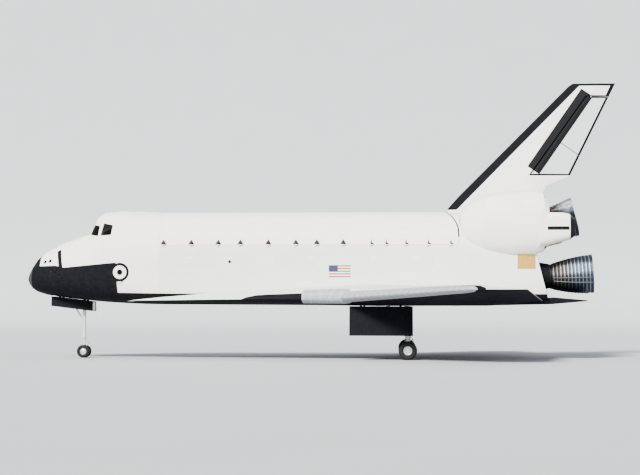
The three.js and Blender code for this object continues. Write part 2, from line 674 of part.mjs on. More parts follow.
// Fin
function finRing([height, noseAt, tailAt, half, tail], grow) {
  const crest = FIN.hingeRoot + (height - FIN.root) * Math.tan(radians(FIN.hingeSweep));
  const edge = 1.6;
  const side = (s) => [
    at(noseAt - grow + 1.2, s * (edge + grow), height),
    at(lerp(noseAt, crest, 0.35), s * (half * 0.52 + grow), height),
    at(Math.min(crest, tailAt - 2), s * (half + grow), height),
    at(tailAt + grow, s * (tail + grow), height),
  ];
  return [at(noseAt - grow, 0, height), ...side(1), ...side(-1).reverse()];
}
function vertical(inset = 0) {
  return loft(FIN_SECTIONS.map((row) => finRing(row, -inset)));
}

const RUDDER_AXIS = new THREE.Vector3(Math.sin(radians(FIN.hingeSweep)), 0, Math.cos(radians(FIN.hingeSweep)));
const rudderPoint = (height) =>
  at(FIN.hingeRoot + (height - FIN.root) * Math.tan(radians(FIN.hingeSweep)), 0, height);
const rudderHalf = (height) => lerp(12, 6.2, (height - 589) / (812 - 589));

// Turns a solid made about the vertical through the origin to the rudder's leaning hinge line.
function leaned(body, height) {
  const turn = new THREE.Quaternion().setFromUnitVectors(new THREE.Vector3(0, 0, 1), RUDDER_AXIS);
  const place = rudderPoint(height);
  return solid(geometryOf(body).applyQuaternion(turn).translate(place.x, place.y, place.z));
}
const local = (low, high) => {
  const size = high.map((value, i) => (value - low[i]) * INCH);
  const middle = high.map((value, i) => ((value + low[i]) / 2) * INCH);
  return solid(new THREE.BoxGeometry(...size).translate(...middle));
};
const aftOfHinge = (forward) => leaned(local([-forward, -60, -300], [300, 60, 300]), RUDDER.split);
const hingeCone = (share, grow) => {
  const [low, high] = [RUDDER.bottom - 20, RUDDER.fixedTop + 20];
  const [wide, narrow] = [low, high].map((height) => (rudderHalf(height) * share + grow) * around(1, 24));
  return bar(rudderPoint(low), rudderPoint(high), wide, narrow, 24);
};

const SHAFT_SIDES = 36;
const alongHinge = (past, radius) =>
  bar(rudderPoint(RUDDER.bottom - past), rudderPoint(RUDDER.fixedTop + past), radius, undefined, SHAFT_SIDES);
const rudderShaft = () => alongHinge(7.9, RUDDER.shaft);
const shaftBore = () => alongHinge(8, around(RUDDER.shaft + RUNNING_GAP, SHAFT_SIDES));

function rudderPanel(part) {
  const { bottomSlope, topSlope } = RUDDER_SWING;
  const [inner, outer] = [0.22, 60];
  const low = (offset) => [offset, RUDDER.bottom + RUDDER.edge + offset * bottomSlope];
  const high = (offset) => [offset, RUDDER.top - offset * topSlope];
  const band = prism([low(inner), low(outer), high(outer), high(inner)], "x", 1300, 1760);
  // Above or below the plane square to the hinge at the split
  const half =
    part === "upper"
      ? leaned(local([-300, -60, 0.3], [300, 60, 400]), RUDDER.split)
      : leaned(local([-300, -60, -400], [300, 60, -0.3]), RUDDER.split);
  const blade = vertical().intersect(aftOfHinge(0));
  // The nose stops short of the middle, so that the two sides can open against each other.
  const beyond = new THREE.Matrix4().makeRotationZ(radians(RUDDER.noseReach - 180));
  const sector = solid(geometryOf(local([-40, -80, -300], [0, 0, 300])).applyMatrix4(beyond));
  const noseOnly = cut(hingeCone(RUDDER_SWING.nose, 0), leaned(sector, RUDDER.split));
  return largest(cut(join(blade, noseOnly).intersect(band).intersect(half), shaftBore()));
}

function fin() {
  const space = block([1300, -WIDE, RUDDER.bottom], [1760, WIDE, RUDDER.fixedTop]);
  const pocket = join(aftOfHinge(MOVING_GAP), hingeCone(RUDDER_SWING.pocket, MOVING_GAP)).intersect(space);
  return cut(vertical(), pocket, shaftBore(), hull(1270, 1529, -SEAT_GAP), ...upperEngineSpace());
}

// Landing gear
function wheelRing(profile, sides) {
  const points = profile.map(([radius, across]) => new THREE.Vector2(radius * INCH, across * INCH));
  points.push(points[0].clone());
  const made = solid(new THREE.LatheGeometry(points, sides));
  if (made.volume() > 0) return made;
  return solid(new THREE.LatheGeometry(points.reverse(), sides));
}

function onAxle(body, station, offset, height) {
  const place = at(station, offset, height);
  return solid(geometryOf(body).translate(place.x, place.y, place.z));
}

const AXLE = { main: 3, nose: 2 };
const mainAxleHeight = GROUND + MAIN_GEAR.tyre;
const noseAxleHeight = GROUND + NOSE_GEAR.tyre;

function mainTyre(offset) {
  const { tyre, width } = MAIN_GEAR;
  const w = width / 2;
  const seat = around(10.43, 20);
  const profile = [[seat, -w + 2], [13, -w + 0.6], [17, -w], [20.2, -w + 1.6], [21.8, -w + 4], [tyre, -1.6]];
  const whole = [...profile, ...profile.map(([r, a]) => [r, -a]).reverse()];
  return onAxle(wheelRing(whole, 20), MAIN_GEAR.station, offset, mainAxleHeight);
}
function mainRim(offset, outward) {
  const bore = around(AXLE.main + RUNNING_GAP, 16);
  const w = 5.3;
  const profile = [
    [bore, -w + 1],
    [5, -w + 1],
    [5.6, -w + 2.6],
    [9, -w + 2.6],
    [10.4, -w],
    [10.4, w],
    [9, w - 2],
    [5.6, w - 2],
    [bore, w],
  ];
  const faced = profile.map(([r, a]) => [r, a * outward]);
  return onAxle(wheelRing(faced, 16), MAIN_GEAR.station, offset, mainAxleHeight);
}
function noseWheel(offset) {
  const { tyre, width } = NOSE_GEAR;
  const w = width / 2;
  const bore = around(AXLE.nose + RUNNING_GAP, 20);
  const profile = [[bore, -2.4], [4, -2.4], [7, -1.6], [7.8, -w + 0.6], [11.5, -w], [14.4, -w + 1.1], [tyre, -1.1]];
  const whole = [...profile, ...profile.map(([r, a]) => [r, -a]).reverse()];
  return onAxle(wheelRing(whole, 20), NOSE_GEAR.station, offset, noseAxleHeight);
}

// The main leg: an upper cylinder in the well, a sliding piston, the axle, a drag brace and a side brace.
function mainLeg() {
  const { station, offset, track, width } = MAIN_GEAR;
  const foot = at(station, offset, mainAxleHeight);
  const roof = MAIN_WELL.roof - SEAT_GAP;
  const half = track + width / 2 - 1.5;
  return join(
    bar(at(station, offset, 226), at(station, offset, roof), 6.5, undefined, 12),
    bar(foot, at(station, offset, 228), 4, undefined, 12),
    bar(at(station, offset - half, mainAxleHeight), at(station, offset + half, mainAxleHeight), AXLE.main, undefined, 12),
    bar(at(station, offset - 5, mainAxleHeight), at(station, offset + 5, mainAxleHeight), 5.2, undefined, 12),
    bar(at(station, MAIN_WELL.inner + SEAT_GAP, 290), at(station, MAIN_WELL.outer - SEAT_GAP, 290), 3.4, undefined, 12),
    bar(at(station - 3, offset, 236), at(MAIN_WELL.front + 50, offset, roof - 3), 2.6, undefined, 8),
    block([MAIN_WELL.front + 44, offset - 7, roof - 7], [MAIN_WELL.front + 58, offset + 7, roof]),
    block([station + 4, offset - 2, 214], [station + 12, offset + 2, 218]),
    bar(at(station + 3, offset, 236), at(station + 11, offset, 214), 1.7, undefined, 8),
    bar(at(station + 11, offset, 217), at(station + 3, offset, 178), 1.7, undefined, 8),
  );
}

// The nose leg's fixed part, and the part that steers: piston, torque links and axle.
const NOSE_COLLAR = 196; // height where the steered part meets the cylinder
function noseLeg() {
  const { station } = NOSE_GEAR;
  const roof = NOSE_WELL.roof - SEAT_GAP;
  return join(
    bar(at(station, 0, NOSE_COLLAR + SEAT_GAP), at(station, 0, roof), 4.6, undefined, 12),
    bar(at(station, SEAT_GAP - NOSE_WELL.half, 318), at(station, NOSE_WELL.half - SEAT_GAP, 318), 2.4, undefined, 12),
    bar(at(station - 3, 0, 232), at(NOSE_WELL.front + 16, 0, roof - 3), 2, undefined, 10),
    block([NOSE_WELL.front + 10, -6, roof - 6], [NOSE_WELL.front + 24, 6, roof]),
  );
}
function noseFork() {
  const { station, track, width } = NOSE_GEAR;
  const half = track + width / 2 - 1;
  return join(
    bar(at(station, 0, noseAxleHeight), at(station, 0, NOSE_COLLAR), 3, undefined, 12),
    bar(at(station, 0, NOSE_COLLAR - 7), at(station, 0, NOSE_COLLAR), 5.2, undefined, 12),
    bar(at(station, -half, noseAxleHeight), at(station, half, noseAxleHeight), AXLE.nose, undefined, 12),
    bar(at(station, -4, noseAxleHeight), at(station, 4, noseAxleHeight), 3.6, undefined, 12),
    bar(at(station + 3, 0, NOSE_COLLAR - 4), at(station + 12, 0, NOSE_COLLAR - 14), 1.2, undefined, 8),
    bar(at(station + 12, 0, NOSE_COLLAR - 13), at(station + 2, 0, noseAxleHeight + 5), 1.2, undefined, 8),
  );
}

// Gear doors hang open from the edges of the wells.
function gearDoor(well, wall, depth, lean, tops, straps) {
  const [front, back] = [well.front + 1, well.back - 1];
  const outline = [[front, tops[0]], [back, tops[1]], [back, tops[1] - depth], [front, tops[0] - depth]];
  const plate = prism(outline, "y", wall - DOOR_PLATE.gap - DOOR_PLATE.thick, wall - DOOR_PLATE.gap);
  const hinges = straps.map((station) => {
    const top = lerp(tops[0], tops[1], (station - front) / (back - front));
    return block([station, wall - 3.6, top - 4], [station + 5, wall - SEAT_GAP, top + 9]);
  });
  // The plate leans outwards from its top edge
  const [pivotY, pivotZ] = [wall * INCH, z(lerp(tops[0], tops[1], 0.5))];
  const leant = geometryOf(plate)
    .translate(0, -pivotY, -pivotZ)
    .applyMatrix4(new THREE.Matrix4().makeRotationX(radians(lean)))
    .translate(0, pivotY, pivotZ);
  return join(solid(leant), ...hinges);
}
const DOOR_PLATE = { gap: 0.6, thick: 2.2 };
const bellyAt = (station) => sectionAt(station)[4];
function noseDoor() {
  const tops = [bellyAt(NOSE_WELL.front) - 1.5, bellyAt(NOSE_WELL.back) - 1.5];
  return gearDoor(NOSE_WELL, NOSE_WELL.half, 24, 6, tops, [318, 380]);
}
function mainDoor() {
  return gearDoor(MAIN_WELL, MAIN_WELL.outer, 70, 8, [267, 266.5], [1072, 1166]);
}

// Finishes
const finish = (color, roughness, metalness = 0) => new THREE.MeshStandardMaterial({ color, roughness, metalness });
const FINISHES = {
  white: finish(0xeceae4, 0.8),
  black: finish(0x1b1d21, 0.75),
  carbon: finish(0x5a5d62, 0.7),
  grey: finish(0x9aa0a2, 0.8),
  metal: finish(0x6f7478, 0.45, 0.8),
  bell: finish(0x3d4654, 0.5, 0.6),
  tyre: finish(0x191919, 0.9),
  glass: new THREE.MeshStandardMaterial({ color: 0x101820, roughness: 0.1, transparent: true, opacity: 0.5 }),
};

const orbiter = new THREE.Group();
orbiter.name = "space_shuttle";

function add(name, body, material) {
  const mesh = new THREE.Mesh(geometryOf(body), FINISHES[material]);
  mesh.name = name;
  orbiter.add(mesh);
}

// A starboard piece and its mirror image to port
function addPair(name, body, material) {
  add(name + "_right", body, material);
  add(name + "_left", mirrored(body), material);
}

add("nose_cap", noseCap, "carbon");
add("forward_thruster_module", forwardThrusters, "white");
add("forward_fuselage_lower", lowerForward(), "white");
add("forward_fuselage_upper", upperForward, "white");
add("flight_deck", flightDeck(), "grey");
for (const [name, window] of Object.entries(WINDOWS)) {
  addPair(name, largest(glassShell.intersect(windowPrism(window, 1, SEAT_GAP))), "glass");
}
add("side_hatch", sideHatch(), "white");
add("hatch_window", hatchWindow(), "glass");
add("mid_fuselage", midFuselage(), "white");
addPair("payload_door", payloadDoor(), "white");
add("aft_fuselage", aftFuselage(), "white");
for (const [name, engine] of Object.entries(MAIN_ENGINES)) add("main_engine_bell_" + name, mainBell(engine), "bell");
addPair("orbital_pod", orbitalPod(), "white");
addPair("orbital_engine_bell", orbitalBell(), "bell");
add("body_flap", bodyFlap(), "black");
addPair("wing", wing(), "white");
addPair("wing_leading_edge", wingEdge(), "carbon");
addPair("elevon_inboard", elevon(ELEVONS.inboard), "white");
addPair("elevon_outboard", elevon(ELEVONS.outboard), "white");
add("fin", fin(), "white");
add("rudder_shaft", rudderShaft(), "metal");
addPair("rudder_lower", rudderPanel("lower"), "white");
addPair("rudder_upper", rudderPanel("upper"), "white");
add("nose_leg", noseLeg(), "metal");
add("nose_fork", noseFork(), "metal");
addPair("nose_wheel", noseWheel(NOSE_GEAR.track), "tyre");
addPair("nose_door", noseDoor(), "black");
addPair("main_leg", mainLeg(), "metal");
for (const [place, outward] of [["inner", -1], ["outer", 1]]) {
  const offset = MAIN_GEAR.offset + outward * MAIN_GEAR.track;
  addPair("main_tyre_" + place, mainTyre(offset), "tyre");
  addPair("main_rim_" + place, mainRim(offset, outward), "metal");
}
addPair("main_door", mainDoor(), "black");

export default orbiter;
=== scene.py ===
"""The finish and fine detail of a full-size winged shuttle orbiter: an add-on that is run as a script."""

import json
import math

import bmesh
import bpy
from mathutils import Matrix, Vector
from mathutils.bvhtree import BVHTree


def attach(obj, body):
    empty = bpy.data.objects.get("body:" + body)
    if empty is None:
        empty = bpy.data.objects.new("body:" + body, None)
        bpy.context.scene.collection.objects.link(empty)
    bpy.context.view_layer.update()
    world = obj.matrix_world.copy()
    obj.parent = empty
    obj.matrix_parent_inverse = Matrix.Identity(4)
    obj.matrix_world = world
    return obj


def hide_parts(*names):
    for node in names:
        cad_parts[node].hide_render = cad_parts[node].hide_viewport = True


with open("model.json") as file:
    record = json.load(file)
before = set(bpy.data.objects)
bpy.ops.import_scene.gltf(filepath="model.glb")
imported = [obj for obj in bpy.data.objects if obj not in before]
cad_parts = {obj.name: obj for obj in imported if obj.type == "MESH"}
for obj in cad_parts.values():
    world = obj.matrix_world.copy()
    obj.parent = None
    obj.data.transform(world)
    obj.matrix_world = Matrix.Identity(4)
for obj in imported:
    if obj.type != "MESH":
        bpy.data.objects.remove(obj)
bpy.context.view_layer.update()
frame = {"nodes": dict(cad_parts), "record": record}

bl_info = {
    "name": "Shuttle orbiter",
    "version": (1, 0, 0),
    "blender": (4, 5, 0),
    "location": "View3D > Sidebar > Orbiter",
    "description": "Dresses the frame of a winged shuttle orbiter, piece by piece",
    "category": "Add Mesh",
}

# Stations run aft, heights run up and offsets run to starboard, all in inches. The origin is on the ground.
INCH = 0.0254
MIDDLE = 968.5
GROUND = 139
SIDES = {"right": 1, "left": -1}
UP = (0, 0, 1)
# An offset well outside the body, to look inwards from
OUTSIDE = 260

# The body, its payload bay and doors
NOSE_BLACK_END = 273
CABIN_END = 582
BAY_END = 1309
BAY = {"radius": 92, "height": 400}
DOOR = {"inner": 97, "centre": 396, "outer": 105}
# The doors' pivot as offset and height, and the stations of their hinges
DOOR_PIVOT = (105.6, 415.85)
DOOR_HINGES = [592, 660, 726, 780, 848, 915, 966, 1030, 1098, 1134, 1182, 1236, 1290]
SMALL_HINGES_FROM = 1070
# The doors' aft edge, as distance from the pivot and station, along which a painted shadow line runs
DOOR_END = [(26, 1309), (46, 1308), (62, 1304), (78, 1298), (93, 1292), (110, 1284), (136, 1273),
            (150, 1266)]
# The sides' lower edge of white, as station and height
BELLY_LINE = [(236, 366), (319, 367), (341, 362), (474, 373.5), (475, 373.5), (478, 300), (620, 297.5),
              (1530, 296)]
# The leaning base of the body, as height and station
BASE_LINE = [(270, 1527), (500, 1468)]
# The strap behind the nose: how far it leans for each inch of height, the stations of its edges at height 0,
# the height of its top and the station where it ends
STRAP = {"lean": 0.19, "edges": (396, 406), "top": 421, "end": 340}
# The crew hatch, with the radii where its black ring starts and ends, and those of its window's frame
HATCH = {"station": 484, "height": 350, "ring": (16.6, 22.8), "window": (5, 6.2)}
BANNER = {"front": 995, "back": 1048, "low": 337, "high": 366, "stripes": 9}
BANNER_CORNER = {"back": 1017, "low": 350.5}
# The umbilical panels' fittings, as distance aft and up from the middle, and radius
PANEL_FITTINGS = [(-9, -7, 5.2), (8, -8, 3.4), (-9, 8, 3.6), (3, 6, 4.6), (14, 6, 2.2), (13, -1, 2.2)]

# The wing: its rise outwards, its root's offset and middle height, its front edge and the depth of the black
# border behind that, as offset and station or depth, and the offset where the border starts
DIHEDRAL = math.radians(3.5)
WING_ROOT = (105, 280.5)
WING_EDGE = [(105, 512), (146, 762), (188, 1024), (300, 1136), (440, 1278), (470, 1330)]
WING_BORDER = [(105, 50), (188, 30), (470, 26)]
BORDER_ROOT = 150

# The fin and the rudder. Edges are given as height and station, and strips as distances ahead of the hinge.
HINGE_ROOT = (1438, 503)
HINGE_SWEEP = math.radians(34.83)
FIN = {
    "front": [(503, 1277), (509, 1286), (812, 1586), (818.7, 1596)],
    "front_width": 25,
    "root": 506,
    "tip": 813,
    "rear": [(785, 1683), (812, 1696)],
    "rear_width": 8,
    "rear_low": 786,
    "strip": (-1, 26),
    # The pocket's band ahead of the hinge and its top, and the heights under the tip: where painted shade
    # darkens the gap round the rudder
    "pocket": (-1, 9),
    "pocket_top": 789,
    "under_tip_shade": (700, 789.2),
}
RUDDER = {
    "foot": 598,
    "head": 796,
    "parting": 676,
    "tail": [(589, 1587), (812, 1697.3)],
    "tail_width": 6,
    "strip_end": -9,
    "low_edge": 594,
    "high_edge": 782,
}
# The black web ahead of the hinge, a dark sheet that stands in for the shade in the slit: heights with how
# far forward it reaches, its start and its half width
SHADE_WEB = {"ends": [(591.5, 11), (788.2, 7)], "start": 3, "half": 0.03}
# The seal under the fin's tip, a black piece that stands in for the shade in the gap: the heights that the
# tip's underside lies between, the height at which its start behind the hinge is measured, and its depth
TIP_SHADE_SEAL = {"underside": (770, 800), "height": 788.5, "behind_hinge": 6.5, "depth": 2.4}

# Each engine: the middle of its bell's rim as station, offset and height, its pitch and yaw in degrees, and
# the length of bell that shows
MAIN_ENGINES = {
    "upper": {"rim": (1596, 0, 486), "pitch": 16, "yaw": 0, "shown": 82},
    "left": {"rim": (1634, -61, 346), "pitch": 3, "yaw": -3.5, "shown": 104},
    "right": {"rim": (1634, 61, 346), "pitch": 3, "yaw": 3.5, "shown": 104},
}
ORBITAL_ENGINES = {
    "right": {"rim": (1584, 88, 508), "pitch": 14, "yaw": 6.5, "shown": 56},
    "left": {"rim": (1584, -88, 508), "pitch": 14, "yaw": -6.5, "shown": 56},
}
# Each kind of bell: its outline as distance ahead of the rim and radius, its wall, the rise of its hoops,
# how far it is set in, its colour and how bright its hoops are
MAIN_BELL = {
    "outline": [(0, 46.5), (26, 44.5), (52, 40.5), (78, 34.5), (98, 27.5), (108, 22)],
    "wall": 1.2,
    "hoop": 1.1,
    "set_in": 0.9,
    "tint": "bell_blue",
    "shine": 0.75,
}
ORBITAL_BELL = {
    "outline": [(0, 22), (18, 19), (36, 14), (50, 8), (58, 5)],
    "wall": 0.7,
    "hoop": 0.3,
    "set_in": 0.4,
    "tint": "bell_pale",
    "shine": 0.05,
}

# The landing gear: the leg's place, the tyre's radius and width, a wheel's distance from the leg, the
# radius of the tyre's seat, its grooves, the rim's section as radius and distance outwards, and its bolts'
# ring and count. The links behind a leg have their roots and knee above the axle, both ends' distances aft
# and to the side, their radius, and the pin's half length and radius.
MAIN_GEAR = {
    "station": 1185,
    "offset": 136,
    "tyre": 22.25,
    "width": 15,
    "track": 15,
    "seat": 10.43,
    "grooves": (3.6, 1.2, -1.2, -3.6),
    "rim": [(3.1, -4.3), (5, -4.3), (5.6, -2.7), (9, -2.7), (10.3, -5.2), (10.45, -5.6), (10.45, 5.6),
            (10.3, 5.2), (9.4, 3.6), (8.6, 3.1), (6.2, 3.1), (5.4, 4.4), (4.6, 5.2), (3.1, 5.2),
            (3.1, -4.3)],
    "bolts": (7.4, 12),
    "links": {"roots": (6, 38), "knee": 22, "aft": (5, 14), "side": (2.2, 0.88), "radius": 0.8,
              "pin": (2.5, 1.1)},
}
NOSE_GEAR = {
    "station": 378,
    "offset": 0,
    "tyre": 16,
    "width": 8.8,
    "track": 11,
    "seat": 7.85,
    "grooves": (1.3, -1.3),
    "rim": [(2.05, -2.4), (4, -2.4), (7, -1.6), (7.8, -3.7), (7.9, 3.7), (7, 1.6), (4, 2.4), (3.2, 2.9),
            (2.05, 2.9), (2.05, -2.4)],
    "bolts": (5.6, 8),
    "links": {"roots": (10, 33), "knee": 21, "aft": (3.6, 11), "side": (1.6, 0.8), "radius": 0.55,
              "pin": (2, 0.8)},
}


def at(station, offset, height):
    """A place on the vehicle, in metres in the frame."""
    return Vector(((station - MIDDLE) * INCH, offset * INCH, (height - GROUND) * INCH))


def between(rows, key):
    """The second column of rows at key in the first, on straight lines."""
    for (a, first), (b, second) in zip(rows, rows[1:]):
        if key <= b:
            return first + (second - first) * (key - a) / (b - a)
    return rows[-1][1]


def thrust_line(engine):
    """The unit vector that an engine's bell points along."""
    pitch = math.radians(engine["pitch"])
    yaw = math.radians(engine["yaw"])
    return Vector((math.cos(pitch) * math.cos(yaw), math.cos(pitch) * math.sin(yaw), math.sin(pitch)))


def hinge_station(height):
    """The station of the rudder's leaning hinge line at a height."""
    return HINGE_ROOT[0] + (height - HINGE_ROOT[1]) * math.tan(HINGE_SWEEP)


# Working with objects and operators


def only(*objects):
    """Leaves only these objects selected, the first of them active."""
    if bpy.context.object and bpy.context.object.mode != "OBJECT":
        bpy.ops.object.mode_set(mode="OBJECT")
    bpy.ops.object.select_all(action="DESELECT")
    for item in objects:
        item.select_set(True)
    if objects:
        bpy.context.view_layer.objects.active = objects[0]


class edited:
    """Edit mode on one object, with everything or nothing in it selected at the start."""

    def __init__(self, item, select="SELECT", mode="FACE"):
        self.item, self.select, self.mode = item, select, mode

    def __enter__(self):
        only(self.item)
        bpy.ops.object.mode_set(mode="EDIT")
        bpy.ops.mesh.select_mode(type=self.mode)
        bpy.ops.mesh.select_all(action=self.select)
        return self.item

    def __exit__(self, *error):
        bpy.ops.object.mode_set(mode="OBJECT")


def pick(item, test, kind="faces"):
    """Selects the faces or edges of the object in edit mode that test accepts by middle and direction."""
    mesh = bmesh.from_edit_mesh(item.data)
    for part in [*mesh.verts, *mesh.edges, *mesh.faces]:
        part.select = False
    for part in getattr(mesh, kind):
        if kind == "faces":
            chosen = test(part.calc_center_median(), part.normal)
        else:
            first, second = part.verts
            chosen = test((first.co + second.co) / 2, (second.co - first.co).normalized())
        if chosen:
            part.select_set(True)
    bmesh.update_edit_mesh(item.data)


def extruded(move):
    """Extrudes what is selected in edit mode, moving it by a vector in metres."""
    bpy.ops.mesh.extrude_region_move(TRANSFORM_OT_translate={"value": move})


def faced_out():
    """Turns all faces of the mesh in edit mode outwards."""
    bpy.ops.mesh.select_all(action="SELECT")
    bpy.ops.mesh.normals_make_consistent(inside=False)


def settle(item):
    """Puts an object's place and turn into its mesh."""
    only(item)
    bpy.ops.object.transform_apply(location=True, rotation=True, scale=True)
    return item


def modified(item, kind, **settings):
    """Adds a modifier and applies it."""
    only(item)
    modifier = item.modifiers.new(kind.title(), kind)
    for name, value in settings.items():
        setattr(modifier, name, value)
    bpy.ops.object.modifier_apply(modifier=modifier.name)
    return item


def joined(items, name):
    """One object from several."""
    only(*items)
    if len(items) > 1:
        bpy.ops.object.join()
    item = bpy.context.object
    item.name = item.data.name = name
    return item


def copied(item, name):
    """A copy with its own mesh, tied to nothing."""
    mesh = item.data.copy()
    made = bpy.data.objects.new(name, mesh)
    made.data.name = name
    bpy.context.scene.collection.objects.link(made)
    return made


def mirrored(item, name):
    """A copy on the other side of the centre plane."""
    made = copied(item, name)
    made.scale = (1, -1, 1)
    settle(made)
    with edited(made):
        bpy.ops.mesh.flip_normals()
    return made


def finished(item, body, look, angle):
    """Gives a piece its smooth shading, finish and body."""
    settle(item)
    bpy.ops.object.shade_smooth_by_angle(angle=math.radians(angle))
    item.data.materials.clear()
    item.data.materials.append(look)
    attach(item, body)
    return item


def fitted(items, name, look, angle=30, body="airframe"):
    """Joins items into one named and finished piece on a body."""
    return finished(joined(items, name), body, finish(look), angle)


def box(middle, size, bevel):
    """A box about a place, with its edges bevelled. Its size is in metres and its bevel in inches."""
    bpy.ops.object.select_all(action="DESELECT")
    bpy.ops.mesh.primitive_cube_add(size=1, location=middle)
    item = bpy.context.object
    item.scale = size
    settle(item)
    with edited(item):
        bpy.ops.mesh.bevel(offset=bevel * INCH, segments=2, affect="EDGES")
    return item


def block(low, high, bevel):
    """A bevelled box between two corners given as station, offset and height."""
    first, second = at(*low), at(*high)
    return box((first + second) / 2, [abs(b - a) for a, b in zip(first, second)], bevel)


def slab(length, width, low, high, bevel):
    """A bevelled box about the origin's vertical axis, in inches."""
    return box((0, 0, (high + low) / 2 * INCH), (length * INCH, width * INCH, (high - low) * INCH), bevel)


def tray(length, width, low, high, bevel, border, lip, depth):
    """A slab with a shallow recess in its upper face, in inches."""
    item = slab(length, width, low, high, bevel)
    with edited(item, "DESELECT"):
        pick(item, lambda middle, facing: facing.z > 0.9)
        bpy.ops.mesh.inset(thickness=border * INCH, depth=0)
        bpy.ops.mesh.inset(thickness=lip * INCH, depth=-depth * INCH)
    return item


def traced(points, closed=False):
    """A line through points in metres, drawn by extruding one vertex, with a face where it closes."""
    bpy.ops.object.select_all(action="DESELECT")
    bpy.ops.mesh.primitive_plane_add(size=1, location=(0, 0, 0))
    item = bpy.context.object
    bpy.ops.object.mode_set(mode="EDIT")
    bpy.ops.mesh.select_mode(type="VERT")
    bpy.ops.mesh.select_all(action="SELECT")
    bpy.ops.mesh.merge(type="CENTER")
    bpy.ops.transform.translate(value=points[0])
    for here, there in zip(points, points[1:]):
        extruded(Vector(there) - Vector(here))
    if closed:
        bpy.ops.mesh.select_all(action="SELECT")
        bpy.ops.mesh.edge_face_add()
    bpy.ops.object.mode_set(mode="OBJECT")
    return item


def lathe(profile, steps, origin=(0, 0, 0), axis=UP):
    """A profile of (radius, distance along the axis) in inches, turned about an axis through origin."""
    item = traced([(radius * INCH, 0, along * INCH) for radius, along in profile])
    with edited(item, mode="VERT"):
        bpy.ops.mesh.spin(steps=steps, angle=math.tau, center=(0, 0, 0), axis=UP)
        bpy.ops.mesh.select_all(action="SELECT")
        bpy.ops.mesh.remove_doubles(threshold=1e-5)
        bpy.ops.mesh.normals_make_consistent(inside=False)
    turn = Vector(UP).rotation_difference(Vector(axis)).to_matrix().to_4x4()
    item.matrix_world = Matrix.Translation(origin) @ turn
    return settle(item)


def touched(nodes, start, towards):
    """Where a line from start first meets one of the nodes: the place, the way it faces and the node."""
    best = None
    way = Vector(towards).normalized()
    for node in nodes:
        mesh = frame["nodes"][node].data
        faces = [face.vertices for face in mesh.polygons]
        surface = BVHTree.FromPolygons([spot.co for spot in mesh.vertices], faces)
        place, normal, _, distance = surface.ray_cast(start, way)
        if place is not None and (best is None or distance < best[0]):
            best = (distance, place, -normal if normal.dot(way) > 0 else normal, node)
    if best is None:
        raise RuntimeError(f"no surface of {nodes} lies that way")
    return best[1:]


def from_side(nodes, station, sign, height):
    """Where a line from one side of the orbiter, level and square to it, first meets one of the nodes."""
    return touched(nodes, at(station, sign * OUTSIDE, height), (0, -sign, 0))


def seated(item, place, normal, along=(1, 0, 0)):
    """Moves an item that was made at the origin, facing up, onto a surface, with its X along the body."""
    up = normal.normalized()
    first = (Vector(along) - up * up.dot(Vector(along))).normalized()
    second = up.cross(first)
    item.matrix_world = Matrix.Translation(place) @ Matrix((first, second, up)).transposed().to_4x4()
    return settle(item)


def smoothed(item):
    """Smooth shading on a skin, with its flat stretches kept flat."""
    only(item)
    bpy.ops.mesh.customdata_custom_splitnormals_clear()
    bpy.ops.object.shade_smooth_by_angle(angle=math.radians(28))
    return modified(item, "WEIGHTED_NORMAL", keep_sharp=True)


def cut(item, cutters):
    """Cuts holes into a skin; each hole's walls take the cutter's finish."""
    for cutter in cutters:
        cutter.data.materials.clear()
        cutter.data.materials.append(finish("black_trim"))
    tool = joined(cutters, "cutter")
    modified(item, "BOOLEAN", object=tool, operation="DIFFERENCE", solver="EXACT", material_mode="TRANSFER")
    bpy.data.objects.remove(tool)
    return smoothed(item)


def drum(radius, low, high):
    """A cutter: a round plug about the origin's vertical axis, in inches."""
    bpy.ops.object.select_all(action="DESELECT")
    bpy.ops.mesh.primitive_cylinder_add(vertices=24, radius=radius * INCH, depth=(high - low) * INCH,
                                        location=(0, 0, (high + low) / 2 * INCH))
    return settle(bpy.context.object)


def nozzle(radius, depth):
    """A thruster's small bell about the origin, opening upwards."""
    throat = radius * 0.35
    outside = [(0, -depth - 0.3), (throat + 0.3, -depth - 0.3), (radius * 0.78, -depth * 0.5), (radius, 0)]
    lip = [(radius + 0.35, 0.12), (radius + 0.3, 0.3), (radius - 0.25, 0.25)]
    profile = outside + lip + [(radius * 0.7, -depth * 0.5), (throat, -depth), (0, -depth)]
    return lathe(profile, 24)


def rod(points, radius):
    """A round bar or pipe along points, in metres, with closed ends. Its radius is in inches."""
    curve = bpy.data.curves.new("pipe", "CURVE")
    curve.dimensions = "3D"
    curve.bevel_depth = radius * INCH
    curve.bevel_resolution = 2
    curve.use_fill_caps = True
    spline = curve.splines.new("POLY")
    spline.points.add(len(points) - 1)
    for spot, point in zip(spline.points, points):
        spot.co = (*point, 1)
    item = bpy.data.objects.new("pipe", curve)
    bpy.context.scene.collection.objects.link(item)
    only(item)
    bpy.ops.object.convert(target="MESH")
    item = bpy.context.object
    with edited(item):
        bpy.ops.mesh.remove_doubles(threshold=1e-6)
    return item


# Finishes


